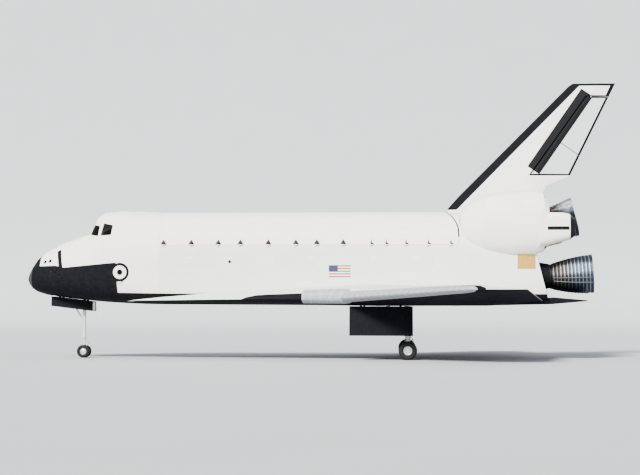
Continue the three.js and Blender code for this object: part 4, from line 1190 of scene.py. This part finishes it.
class ORBITER_OT_engine_bells(bpy.types.Operator):
    """Turns the three main and two orbital engine bells, with their hoops and feed pipes"""

    bl_idname = "orbiter.engine_bells"
    bl_label = "Engine bells"

    def execute(self, context):
        detail = context.scene.orbiter_detail
        for name, engine in MAIN_ENGINES.items():
            node = "main_engine_bell_" + name
            bell(node, engine, MAIN_BELL, detail.hoop_pitch, detail.round_steps)
            fitted(bell_lines(engine), node + "_lines", "dark_metal", 40)
        for name, engine in ORBITAL_ENGINES.items():
            bell("orbital_engine_bell_" + name, engine, ORBITAL_BELL, detail.band_pitch, detail.round_steps)
        return {"FINISHED"}


def tyre_profile(gear):
    """A tyre's section: bead, sidewall, shoulder and tread with grooves, closed on itself."""
    tyre, seat, half = gear["tyre"], gear["seat"], gear["width"] / 2
    side = [(seat, half - 2.2), (seat + 1.6, half - 0.7), ((seat + tyre) / 2, half), (tyre - 3.2, half - 0.5),
            (tyre - 1.4, half - 1.7), (tyre - 0.5, half - 3.1)]
    tread = []
    for place in gear["grooves"]:
        for shift, depth in ((0.3, 0), (0.18, 0.45), (-0.18, 0.45), (-0.3, 0)):
            tread.append((tyre - depth - 0.02 * abs(place), place + shift))
    outline = side + tread + [(r, -a) for r, a in side[::-1]]
    return outline + [outline[0]]


def rim_bolts(gear, centre, outward):
    """The nuts round a rim, on its outer face."""
    ring, count = gear["bolts"]
    face = outward * (between(sorted(gear["rim"][1:-1]), ring) + 0.15)
    nuts = []
    for turn in range(count):
        angle = math.tau * turn / count
        spot = centre + Vector((ring * math.cos(angle), face, ring * math.sin(angle))) * INCH
        bpy.ops.object.select_all(action="DESELECT")
        bpy.ops.mesh.primitive_cylinder_add(vertices=6, radius=0.42 * INCH, depth=0.9 * INCH, location=spot,
                                            rotation=(math.pi / 2, 0, 0))
        nut = settle(bpy.context.object)
        with edited(nut):
            bpy.ops.mesh.bevel(offset=0.06 * INCH, segments=1, affect="EDGES")
        nuts.append(nut)
    return nuts


def wheel(gear, offset, outward, name, steps):
    """A tyre and a rim with its bolts, on one axle."""
    centre = at(gear["station"], offset, GROUND + gear["tyre"])
    tyre = lathe(tyre_profile(gear), steps, centre, (0, 1, 0))
    tyre.name = name + "_tyre"
    finished(tyre, name, finish("tyre_rubber"), 40)
    disc = lathe([(radius, along * outward) for radius, along in gear["rim"]], steps, centre, (0, 1, 0))
    parts = [disc, *rim_bolts(gear, centre, outward)]
    return tyre, fitted(parts, name + "_rim", "rim_metal", 35, name)


class ORBITER_OT_wheels(bpy.types.Operator):
    """Turns the tyres and rims of the nose and main wheels"""

    bl_idname = "orbiter.wheels"
    bl_label = "Wheels"

    def execute(self, context):
        steps = context.scene.orbiter_detail.round_steps
        for side, sign in SIDES.items():
            for place, outward in (("inner", -1), ("outer", 1)):
                offset = sign * (MAIN_GEAR["offset"] + outward * MAIN_GEAR["track"])
                tyre, disc = wheel(MAIN_GEAR, offset, outward * sign, f"main_wheel_{place}_{side}", steps)
                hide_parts(f"main_tyre_{place}_{side}")
                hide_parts(f"main_rim_{place}_{side}")
            name = f"nose_wheel_{side}"
            tyre, disc = wheel(NOSE_GEAR, sign * NOSE_GEAR["track"], sign, name, steps)
            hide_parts(name)
        return {"FINISHED"}


class ORBITER_OT_rudder_shade_web(bpy.types.Operator):
    """Closes the slits round the rudder with black pieces that stand in for the shade in them: a web on its
    shaft, and a seal under the fin's tip
    """

    bl_idname = "orbiter.rudder_seal"
    bl_label = "Rudder seal"

    def execute(self, context):
        # Both pieces are black to stand in for the shade inside the slits round the rudder
        corners = []
        for height, reach in SHADE_WEB["ends"]:
            for ahead in (SHADE_WEB["start"], reach):
                corners.append(at(hinge_station(height) - ahead / math.cos(HINGE_SWEEP), 0, height))
        web = traced([corners[0], corners[1], corners[3], corners[2]], closed=True)
        modified(web, "SOLIDIFY", thickness=2 * SHADE_WEB["half"] * INCH, offset=0)
        fitted([web], "rudder_seal", "belly_tiles", body="rudder_shaft")
        seat = merged_copy("fin", "fin_tip_seal")
        low, high = (at(0, 0, height).z for height in TIP_SHADE_SEAL["underside"])
        behind = hinge_station(TIP_SHADE_SEAL["height"]) + TIP_SHADE_SEAL["behind_hinge"]
        with edited(seat, "DESELECT"):
            pick(seat, lambda middle, normal: normal.z > -0.9 or not low < middle.z < high)
            bpy.ops.mesh.delete(type="FACE")
            bpy.ops.mesh.select_all(action="SELECT")
            bpy.ops.mesh.bisect(plane_co=at(behind, 0, 0), plane_no=(1, 0, 0), clear_inner=True)
            bpy.ops.mesh.select_all(action="SELECT")
            extruded((0, 0, -TIP_SHADE_SEAL["depth"] * INCH))
            faced_out()
        fitted([seat], "fin_tip_seal", "belly_tiles")
        return {"FINISHED"}


def on_door(height):
    """The offset of the payload door's skin at a height."""
    rise = (height - DOOR["centre"]) / DOOR["outer"]
    return DOOR["outer"] * math.sqrt(1 - rise * rise)


def on_both_doors(items, name, look, angle):
    """Joins items made for the right payload door, mirrors them, and lets each set ride on its door."""
    right = joined(items, name + "_right")
    left = mirrored(right, name + "_left")
    for side, item in (("right", right), ("left", left)):
        finished(item, f"payload_door_{side}", finish(look), angle)


def hinge_cover(station, width, low, high):
    """A three-sided cover on the right payload door's skin, with its point upwards."""
    bpy.ops.object.select_all(action="DESELECT")
    bpy.ops.mesh.primitive_circle_add(vertices=3, radius=INCH, fill_type="NGON")
    item = bpy.context.object
    item.scale = (width / math.sqrt(3), (high - low) / 1.5, 1)
    settle(item)
    with edited(item):
        extruded((0, 0, 0.9 * INCH))
        faced_out()
        bpy.ops.mesh.bevel(offset=0.3 * INCH, segments=1, affect="EDGES")
    lean = math.atan2(on_door(low) - on_door(high), high - low)
    middle = low + (high - low) / 3
    item.matrix_world = (
        Matrix.Translation(at(station, on_door(middle) - 0.2, middle))
        @ Matrix.Rotation(lean, 4, "X")
        @ Matrix.Rotation(-math.pi / 2, 4, "X")
        @ Matrix.Rotation(math.pi, 4, "Z")
    )
    return settle(item)


class ORBITER_OT_hinge_covers(bpy.types.Operator):
    """Sets the black three-sided covers over the payload doors' hinges"""

    bl_idname = "orbiter.hinge_covers"
    bl_label = "Hinge covers"

    def execute(self, context):
        width = context.scene.orbiter_detail.hinge_cover
        covers = []
        for station in DOOR_HINGES:
            wide = width if station < SMALL_HINGES_FROM else width * 0.3
            covers.append(hinge_cover(station, wide, 417.4, 429.5))
        on_both_doors(covers, "door_hinge_covers", "black_trim", 30)
        return {"FINISHED"}


def arc(centre_height, radius, start, end, steps, station):
    """Points round the body's axis at a station, between two angles in degrees from starboard upwards."""
    points = []
    for i in range(steps + 1):
        angle = math.radians(start + (end - start) * i / steps)
        points.append(at(station, radius * math.cos(angle), centre_height + radius * math.sin(angle)))
    return points


def curved_panel(centre_height, radius, start, end, steps, front, back, thick):
    """A curved plate along the body, as thick as stated, half of it to each side."""
    item = traced(arc(centre_height, radius, start, end, steps, front))
    with edited(item, mode="EDGE"):
        extruded(((back - front) * INCH, 0, 0))
        faced_out()
    return modified(item, "SOLIDIFY", thickness=thick * INCH, offset=0, use_even_offset=True)


class ORBITER_OT_radiators(bpy.types.Operator):
    """Lays the radiator panels inside the payload doors"""

    bl_idname = "orbiter.radiators"
    bl_label = "Radiators"

    def execute(self, context):
        centre = at(0, 0, DOOR["centre"]).z
        edges = [598, 766, 934, 1102, 1262]
        panels = []

        def inward(middle, normal):
            out = Vector((middle.y, middle.z - centre)).normalized()
            return abs(normal.x) < 0.5 and out.dot(Vector((normal.y, normal.z))) < -0.5

        for front, back in zip(edges, edges[1:]):
            item = curved_panel(DOOR["centre"], 95.2, 16, 82, 22, front + 2, back - 2, 1.6)
            with edited(item, "DESELECT"):
                pick(item, inward)
                bpy.ops.mesh.inset(thickness=0.9 * INCH, depth=-0.25 * INCH, use_individual=True)
            panels.append(item)
        on_both_doors(panels, "radiator_panels", "radiator", 20)
        return {"FINISHED"}


class ORBITER_OT_bay_frames(bpy.types.Operator):
    """Builds the hoop frames and long rails of the payload bay"""

    bl_idname = "orbiter.bay_frames"
    bl_label = "Payload bay frames"

    def execute(self, context):
        items = []
        for station in range(610, 1283, 56):
            items.append(curved_panel(BAY["height"], 90.6, -174, -6, 28, station, station + 4, 2.4))
        for sign in SIDES.values():
            for offset, half, low, high in ((84, 2, 404, 411), (40, 1.5, 317, 320.5)):
                items.append(block((590, sign * offset - half, low), (1302, sign * offset + half, high), 0.5))
        fitted(items, "payload_bay_frames", "gear_metal")
        return {"FINISHED"}


class ORBITER_OT_nose_thrusters(bpy.types.Operator):
    """Cuts the thruster ports into the nose and sets a small bell in each"""

    bl_idname = "orbiter.nose_thrusters"
    bl_label = "Nose thrusters"

    def execute(self, context):
        nodes = ["forward_thruster_module", "forward_fuselage_upper", "forward_fuselage_lower"]
        ports = [(at(309, offset, 480), (0, 0, -1), 4.0) for offset in (-13, 0, 13)]
        ports += [(at(281, offset, 480), (0.25, 0, -1), 3.4) for offset in (-9, 0, 9)]
        for sign in SIDES.values():
            for station, height in ((288, 377), (302, 379), (318, 350), (330, 343)):
                ports.append((at(station, sign * OUTSIDE, height), (0, -sign, 0), 3.8))
        bells, holes = [], {}
        for start, towards, radius in ports:
            place, normal, node = touched(nodes, start, towards)
            bells.append(seated(nozzle(radius, 5), place - normal * 0.35 * INCH, normal))
            holes.setdefault(node, []).append(seated(drum(radius + 0.7, -6.2, 4), place, normal))
        for node, cutters in holes.items():
            cut(bpy.data.objects[node + "_skin"], cutters)
        fitted(bells, "nose_thruster_bells", "nozzle_metal", 40)
        return {"FINISHED"}


class ORBITER_OT_tail_thrusters(bpy.types.Operator):
    """Cuts the thruster slots and ports into the tail pods' housings and sets their bells"""

    bl_idname = "orbiter.tail_thrusters"
    bl_label = "Tail thrusters"

    def execute(self, context):
        slot_height = 453
        for side, sign in SIDES.items():
            pod = [f"orbital_pod_{side}"]
            place, out, _ = from_side(pod, 1545, sign, slot_height)
            bells, cutters = [], [seated(slab(52, 8.6, -5, 6, 1.2), place, out)]
            for station in (1526, 1538.7, 1551.4, 1564):
                place, _, _ = from_side(pod, station, sign, slot_height)
                bells.append(seated(nozzle(3.5, 3.6), place - out * 0.7 * INCH, out))
            for station in (1516, 1529, 1542):
                for offset, start, way in ((104, 600, -1), (112, 330, 1)):
                    place, normal, _ = touched(pod, at(station, sign * offset, start), (0, 0, way))
                    bells.append(seated(nozzle(3.6, 4), place - normal * 0.5 * INCH, normal))
                    cutters.append(seated(drum(4.3, -5.4, 5), place, normal))
            for offset in (97, 112):
                place, normal, _ = touched(pod, at(1700, sign * offset, 457), (-1, 0, 0))
                bells.append(seated(nozzle(4.2, 5), place - normal * 0.4 * INCH, normal, UP))
                cutters.append(seated(drum(5.0, -6.2, 4), place, normal, UP))
            cut(bpy.data.objects[pod[0] + "_skin"], cutters)
            fitted(bells, f"tail_thruster_bells_{side}", "nozzle_metal", 40)
        return {"FINISHED"}


def rim_of(item, facing):
    """The points, in order, round the part of an item's surface that faces one way."""
    mesh = bmesh.new()
    mesh.from_mesh(item.data)
    edges = []
    for edge in mesh.edges:
        if sum(face.normal.dot(facing) > 0.6 for face in edge.link_faces) == 1:
            edges.append(edge)
    spot = edges[0].verts[0]
    points = [spot.co.copy()]
    while edges:
        following = next((edge for edge in edges if spot in edge.verts), None)
        if following is None:
            break
        edges.remove(following)
        spot = following.other_vert(spot)
        points.append(spot.co.copy())
    mesh.free()
    return points


class ORBITER_OT_windows(bpy.types.Operator):
    """Makes the cabin windows: dark panes with a round black gasket along the edge of each"""

    bl_idname = "orbiter.windows"
    bl_label = "Windows"

    def execute(self, context):
        centre = at(450, 0, 420)
        gaskets = []

        def outward_area(face):
            return face.area * (face.normal.dot((face.center - centre).normalized()) > 0.2)

        for kind in ("windshield_front", "windshield_middle", "windshield_side", "overhead_window"):
            for side in SIDES:
                node = f"{kind}_{side}"
                item = merged_copy(node, node + "_pane")
                outer = max(item.data.polygons, key=outward_area)
                gaskets.append(rod(rim_of(item, outer.normal.copy()), 0.55))
                finished(item, "airframe", finish("window_glass"), 60)
                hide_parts(node)
        fitted(gaskets, "window_gaskets", "gasket", 60)
        return {"FINISHED"}


def umbilical_panel():
    """A square metal plate about the origin, with round fittings on it."""
    parts = [tray(43, 37, -0.4, 0.5, 0.3, 1.8, 0.2, 0.35)]
    for aft, up, size in PANEL_FITTINGS:
        profile = [(0, 0.25), (size - 0.9, 0.3), (size - 0.7, 1.0), (size, 1.0), (size + 0.2, 0.1), (0, 0.1)]
        parts.append(lathe(profile, 28, Vector((aft, up, 0)) * INCH))
    return joined(parts, "umbilical")


class ORBITER_OT_side_marks(bpy.types.Operator):
    """Sets the vents, the umbilical panels and the small dark port on the fuselage sides"""

    bl_idname = "orbiter.side_marks"
    bl_label = "Vents and side panels"

    def execute(self, context):
        vents, ports, panels = [], [], []
        port = [(0, 0.5), (2.2, 0.5), (2.6, 0.9), (3.2, 0.9), (3.6, 0.2), (3.6, -0.5), (0, -0.5)]
        for sign in SIDES.values():
            for station in (655, 754, 853, 952, 1105, 1204):
                place, normal, _ = from_side(["mid_fuselage"], station, sign, 384)
                vents.append(seated(tray(15, 7, -0.3, 0.35, 0.25, 0.6, 0.15, 0.3), place, normal))
            place, normal, _ = from_side(["mid_fuselage"], 754, sign, 375)
            ports.append(seated(lathe(port, 24), place, normal))
            place, normal, _ = from_side(["aft_fuselage"], 1471, sign, 375.5)
            panels.append(seated(umbilical_panel(), place, normal))
        fitted(vents, "side_vents", "white_trim")
        fitted(ports, "side_ports", "black_trim")
        fitted(panels, "umbilical_panels", "gold_panel")
        return {"FINISHED"}


class ORBITER_OT_hatch_parts(bpy.types.Operator):
    """Adds the frame of the crew hatch's window, with its bolts"""

    bl_idname = "orbiter.hatch_parts"
    bl_label = "Hatch parts"

    def execute(self, context):
        spot, facing, _ = from_side(["side_hatch"], HATCH["station"], -1, HATCH["height"] + 10)
        middle = at(HATCH["station"], 0, HATCH["height"])
        middle.y = spot.y
        edge = [(5.0, -0.2), (5.0, 0.45), (5.4, 0.7), (6.2, 0.7), (6.6, 0.3), (6.6, -0.2), (5.0, -0.2)]
        parts = [seated(lathe(edge, 48), middle + facing * 0.1 * INCH, facing)]
        count, ring = 12, 5.8
        for turn in range(count):
            angle = math.tau * turn / count
            out = Vector((math.cos(angle), math.sin(angle), 0)) * ring * INCH
            bolt = lathe([(0, 0.5), (0.45, 0.45), (0.6, 0.2), (0.6, -0.2), (0, -0.2)], 8, out)
            parts.append(seated(bolt, middle + facing * 0.6 * INCH, facing))
        fitted(parts, "hatch_window_frame", "gasket", body="side_hatch")
        return {"FINISHED"}


def torque_links(gear, offset):
    """The two V-shaped links behind a leg, which meet at a pin."""
    links = gear["links"]
    axle, station = GROUND + gear["tyre"], gear["station"]
    knee = axle + links["knee"]
    near, far = (station + aft for aft in links["aft"])
    wide, narrow = links["side"]
    half, thick = links["pin"]
    parts = []
    for root in links["roots"]:
        for sign in (-1, 1):
            ends = [at(near, offset + sign * wide, axle + root), at(far, offset + sign * narrow, knee)]
            parts.append(rod(ends, links["radius"]))
    return parts + [rod([at(far, offset - half, knee), at(far, offset + half, knee)], thick)]


class ORBITER_OT_gear_fittings(bpy.types.Operator):
    """Adds torque links to the landing gear legs, and pipes and collars to the main ones"""

    bl_idname = "orbiter.gear_fittings"
    bl_label = "Landing gear fittings"

    def execute(self, context):
        axle, station = GROUND + MAIN_GEAR["tyre"], MAIN_GEAR["station"]
        collar = [(5.6, -1.0), (6.3, -0.8), (6.3, 0.8), (5.6, 1.0), (5.2, 0), (5.6, -1.0)]
        # A brake pipe's points: distance ahead of the leg, to the side and above the axle
        pipe = [(4.5, 3, 4), (7, 3, 12), (6, 2.6, 30), (6, 2.6, 60), (5, 2.4, 92)]
        for side, sign in SIDES.items():
            offset = sign * MAIN_GEAR["offset"]
            parts = torque_links(MAIN_GEAR, offset)
            for across in (-1, 1):
                run = [at(station - ahead, offset + across * out, axle + up) for ahead, out, up in pipe]
                parts.append(rod(run, 0.38))
            for up in (33, 58, 82):
                parts.append(lathe(collar, 32, at(station, offset, axle + up)))
            fitted(parts, f"main_leg_fittings_{side}", "bright_metal", 35)
        links = torque_links(NOSE_GEAR, NOSE_GEAR["offset"])
        fitted(links, "nose_leg_links", "bright_metal", 35, "nose_fork")
        return {"FINISHED"}


def gear_door(node, sign, ribs):
    """A gear door with tiles outside, a white recess inside and ribs across it."""
    item = merged_copy(node, node + "_panel", 1)
    item.data.materials.clear()
    item.data.materials.append(finish("belly_tiles"))
    item.data.materials.append(finish("white_trim"))
    inner = max(item.data.polygons, key=lambda face: face.area * (face.normal.y * sign < -0.5))
    facing, middle = inner.normal.copy(), inner.center.copy()
    corners = [item.data.vertices[index].co.copy() for index in inner.vertices]
    with edited(item, "DESELECT"):
        pick(item, lambda spot, normal: normal.dot(facing) > 0.99 and (spot - middle).length < 0.1)
        bpy.ops.mesh.inset(thickness=1.6 * INCH, depth=0)
        bpy.ops.mesh.inset(thickness=0.2 * INCH, depth=-0.5 * INCH)
        item.active_material_index = 1
        bpy.ops.object.material_slot_assign()
    settle(item)
    bpy.ops.object.shade_smooth_by_angle(angle=math.radians(25))
    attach(item, "airframe")
    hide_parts(node)
    first, last = min(p.x for p in corners), max(p.x for p in corners)
    upper = sorted((p.x, p.z) for p in corners if p.z > middle.z)
    lower = sorted((p.x, p.z) for p in corners if p.z < middle.z)
    margin = 3.2 * INCH
    bars = []
    for number in range(ribs):
        x = first + (last - first) * (number + 0.5) / ribs
        bars.append(rib(facing, middle, x, between(lower, x) + margin, between(upper, x) - margin))
    fitted(bars, node + "_ribs", "white_trim")


def rib(facing, middle, x, low, high):
    """A stiffener on a gear door's inner face, at one station."""
    height = (high - low) / INCH
    item = slab(1.4, height, -0.5, 0.9, 0.25)
    z = (low + high) / 2
    y = middle.y - (facing.x * (x - middle.x) + facing.z * (z - middle.z)) / facing.y
    return seated(item, Vector((x, y, z)), facing)


class ORBITER_OT_gear_doors(bpy.types.Operator):
    """Makes the gear doors with tiles outside and a ribbed white structure inside"""

    bl_idname = "orbiter.gear_doors"
    bl_label = "Gear doors"

    def execute(self, context):
        for side, sign in SIDES.items():
            for kind, ribs in (("nose_door", 5), ("main_door", 9)):
                gear_door(f"{kind}_{side}", sign, ribs)
        return {"FINISHED"}


class ORBITER_OT_well_fittings(bpy.types.Operator):
    """Fits frames and pipes inside the landing gear wells"""

    bl_idname = "orbiter.well_fittings"
    bl_label = "Gear well fittings"

    def execute(self, context):
        parts, pipes = [], []
        for sign in SIDES.values():
            for station in range(1056, 1190, 18):
                parts.append(block((station, sign * 110, 295.4), (station + 1.6, sign * 178, 299.2), 0.3))
            for offset in (122, 140, 158, 172):
                parts.append(block((1047, sign * offset, 296.6), (1197, sign * (offset + 1.4), 299.2), 0.3))
            for offset, height in ((111.6, 288), (111.6, 284.6), (176.4, 286)):
                run = [(1049, 0), (1090, 0), (1096, 4), (1140, 4), (1146, 0), (1195, 0)]
                pipes.append(rod([at(station, sign * offset, height - drop) for station, drop in run], 0.5))
        for station in range(306, 400, 16):
            parts.append(block((station, -21.6, 332.6), (station + 1.4, 21.6, 336.2), 0.3))
        for offset, height in ((-20.6, 326), (20.6, 326), (20.6, 321)):
            run = [(300, 0), (340, 0), (345, 3), (402, 3)]
            pipes.append(rod([at(station, offset, height - drop) for station, drop in run], 0.45))
        fitted(parts, "well_frames", "white_trim")
        fitted(pipes, "well_pipes", "bright_metal", 40)
        return {"FINISHED"}


class ORBITER_OT_nose_fittings(bpy.types.Operator):
    """Adds the air data probes and the star tracker doors"""

    bl_idname = "orbiter.nose_fittings"
    bl_label = "Nose fittings"

    def execute(self, context):
        shells = ["forward_fuselage_upper", "forward_fuselage_lower", "forward_thruster_module"]
        foot = [(0, 0.6), (1.0, 0.6), (1.6, 0.45), (2.6, 0.3), (3.0, -0.4), (0, -0.4)]
        mast = [(0, 3.4), (0.35, 3.2), (0.5, 0.4), (0.5, -0.2), (0, -0.2)]
        probes, doors = [], []
        for sign in SIDES.values():
            place, normal, _ = from_side(shells, 306, sign, 352)
            probes.append(seated(joined([lathe(foot, 28), lathe(mast, 12)], "probe"), place, normal))
        for station, offset, lean in ((372, -34, 0), (366, -58, 0.5)):
            start = at(station, offset, 600) - Vector((0, lean * 4, 0))
            place, normal, _ = touched(shells, start, (0, lean, -1))
            doors.append(seated(tray(15, 15, -0.3, 0.4, 0.3, 1.2, 0.15, 0.25), place, normal))
        fitted(probes, "air_data_probes", "gasket", 35)
        fitted(doors, "star_tracker_doors", "white_trim")
        return {"FINISHED"}


class ORBITER_OT_bulkheads(bpy.types.Operator):
    """Fits the payload bay's end walls with ribs and the air lock's round door"""

    bl_idname = "orbiter.bulkheads"
    bl_label = "Bay end walls"

    def execute(self, context):
        walls = []
        for face, out in ((CABIN_END + 0.3, 1), (BAY_END - 0.3, -1)):
            front, back = sorted((face, face + out * 3.2))
            for offset in range(-72, 73, 24):
                bottom = BAY["height"] + 4 - math.sqrt(88 ** 2 - offset ** 2)
                walls.append(block((front, offset - 1, bottom), (back, offset + 1, BAY["height"] - 4), 0.3))
            front, back = sorted((face, face + out * 3.6))
            for half, low, high in ((86, 396, 399), (74, 352, 354)):
                walls.append(block((front, -half, low), (back, half, high), 0.4))
        ring = [(18, 0), (24, 0), (24, 5), (22.4, 6.4), (19.6, 6.4), (18, 5), (18, 0)]
        disc = [(0, 3.0), (7, 3.0), (9, 3.6), (16, 2.4), (18.6, 2.2), (18.6, 0), (0, 0)]
        for profile in (ring, disc):
            walls.append(lathe(profile, 48, at(CABIN_END, 0, 352), (1, 0, 0)))
        fitted(walls, "bay_wall_ribs", "gear_metal")
        return {"FINISHED"}


def studio_floor(size, wall):
    """A plain pale floor that turns up into a wall behind the orbiter."""
    bpy.ops.object.select_all(action="DESELECT")
    bpy.ops.mesh.primitive_plane_add(size=size, location=(0, 0, -0.001))
    floor = bpy.context.object
    floor.name = "stage_floor"
    with edited(floor, mode="EDGE"):
        pick(floor, lambda middle, along: middle.y > size * 0.49, "edges")
        bpy.ops.transform.translate(value=(0, wall - size / 2, 0))
        for lift, back in ((2, 6), (6, 6), (12, 4), (60, 2)):
            extruded((0, back, lift))
    settle(floor)
    bpy.ops.object.shade_smooth()
    paint = Paint("stage_floor", Roughness=0.85)
    floor.data.materials.append(paint.done(paint.shade(colour("floor"), paint.noise(200, 3), 0.97, 1.02)))


def studio_light(scene):
    """A pale sky, a broad sun for the photograph's light, and a weak one that fills its shadows."""
    world = bpy.data.worlds.new("studio")
    world.use_nodes = True
    background = next(node for node in world.node_tree.nodes if node.type == "BACKGROUND")
    background.inputs["Color"].default_value = (0.86, 0.9, 0.96, 1)
    background.inputs["Strength"].default_value = 0.75
    scene.world = world
    lights = {
        "sun_soft": {"from": (-30, -70, 62), "energy": 6.4, "angle": 0.25, "color": (1.0, 0.965, 0.90)},
        "fill_soft": {"from": (40, -80, 25), "energy": 0.6, "angle": 0.6, "color": (0.93, 0.96, 1.0)},
    }
    for name, light in lights.items():
        lamp = bpy.data.lights.new(name, "SUN")
        for setting in ("energy", "angle", "color"):
            setattr(lamp, setting, light[setting])
        item = bpy.data.objects.new(name, lamp)
        item.location = light["from"]
        item.rotation_euler = (-Vector(light["from"])).to_track_quat("-Z", "Y").to_euler()
        scene.collection.objects.link(item)


class ORBITER_OT_stage(bpy.types.Operator):
    """Sets the camera at the photograph's angle, soft studio light and a plain pale floor"""

    bl_idname = "orbiter.stage"
    bl_label = "Camera and stage"

    def execute(self, context):
        view = context.scene.orbiter_view
        studio_floor(view.floor, view.wall)
        studio_light(context.scene)
        context.scene.view_settings.look = "AgX - Medium High Contrast"
        lens = bpy.data.cameras.new("camera")
        lens.lens = view.lens
        lens.sensor_width = 36
        lens.clip_end = 1000
        camera = bpy.data.objects.new("camera", lens)
        camera.location = (view.ahead, -view.distance, view.eye)
        aim = Vector((0, 0, view.aim)) - camera.location
        camera.rotation_euler = aim.to_track_quat("-Z", "Y").to_euler()
        context.scene.collection.objects.link(camera)
        context.scene.camera = camera
        return {"FINISHED"}


class ORBITER_PT_panel(bpy.types.Panel):
    """Lists the orbiter's pieces in the order that they are made"""

    bl_label = "Shuttle orbiter"
    bl_space_type = "VIEW_3D"
    bl_region_type = "UI"
    bl_category = "Orbiter"

    def draw(self, context):
        for item in OPERATORS:
            self.layout.operator(item.bl_idname)
        for key, group in GROUPS.items():
            section = self.layout.box()
            for name in group.__annotations__:
                section.prop(getattr(context.scene, key), name)


OPERATORS = [
    ORBITER_OT_skins,
    ORBITER_OT_engine_bells,
    ORBITER_OT_wheels,
    ORBITER_OT_rudder_shade_web,
    ORBITER_OT_hinge_covers,
    ORBITER_OT_radiators,
    ORBITER_OT_bay_frames,
    ORBITER_OT_nose_thrusters,
    ORBITER_OT_tail_thrusters,
    ORBITER_OT_windows,
    ORBITER_OT_side_marks,
    ORBITER_OT_hatch_parts,
    ORBITER_OT_gear_fittings,
    ORBITER_OT_gear_doors,
    ORBITER_OT_well_fittings,
    ORBITER_OT_nose_fittings,
    ORBITER_OT_bulkheads,
    ORBITER_OT_stage,
]
GROUPS = {"orbiter_colours": OrbiterColours, "orbiter_view": OrbiterView, "orbiter_detail": OrbiterDetail}


def register():
    for item in [*GROUPS.values(), *OPERATORS, ORBITER_PT_panel]:
        bpy.utils.register_class(item)
    for key, group in GROUPS.items():
        setattr(bpy.types.Scene, key, bpy.props.PointerProperty(type=group))


def unregister():
    for key in GROUPS:
        delattr(bpy.types.Scene, key)
    for item in reversed([*GROUPS.values(), *OPERATORS, ORBITER_PT_panel]):
        bpy.utils.unregister_class(item)


def main():
    register()
    bpy.ops.object.select_all(action="DESELECT")
    for item in OPERATORS:
        group, name = item.bl_idname.split(".")
        getattr(getattr(bpy.ops, group), name)()


if __name__ == "__main__":
    main()
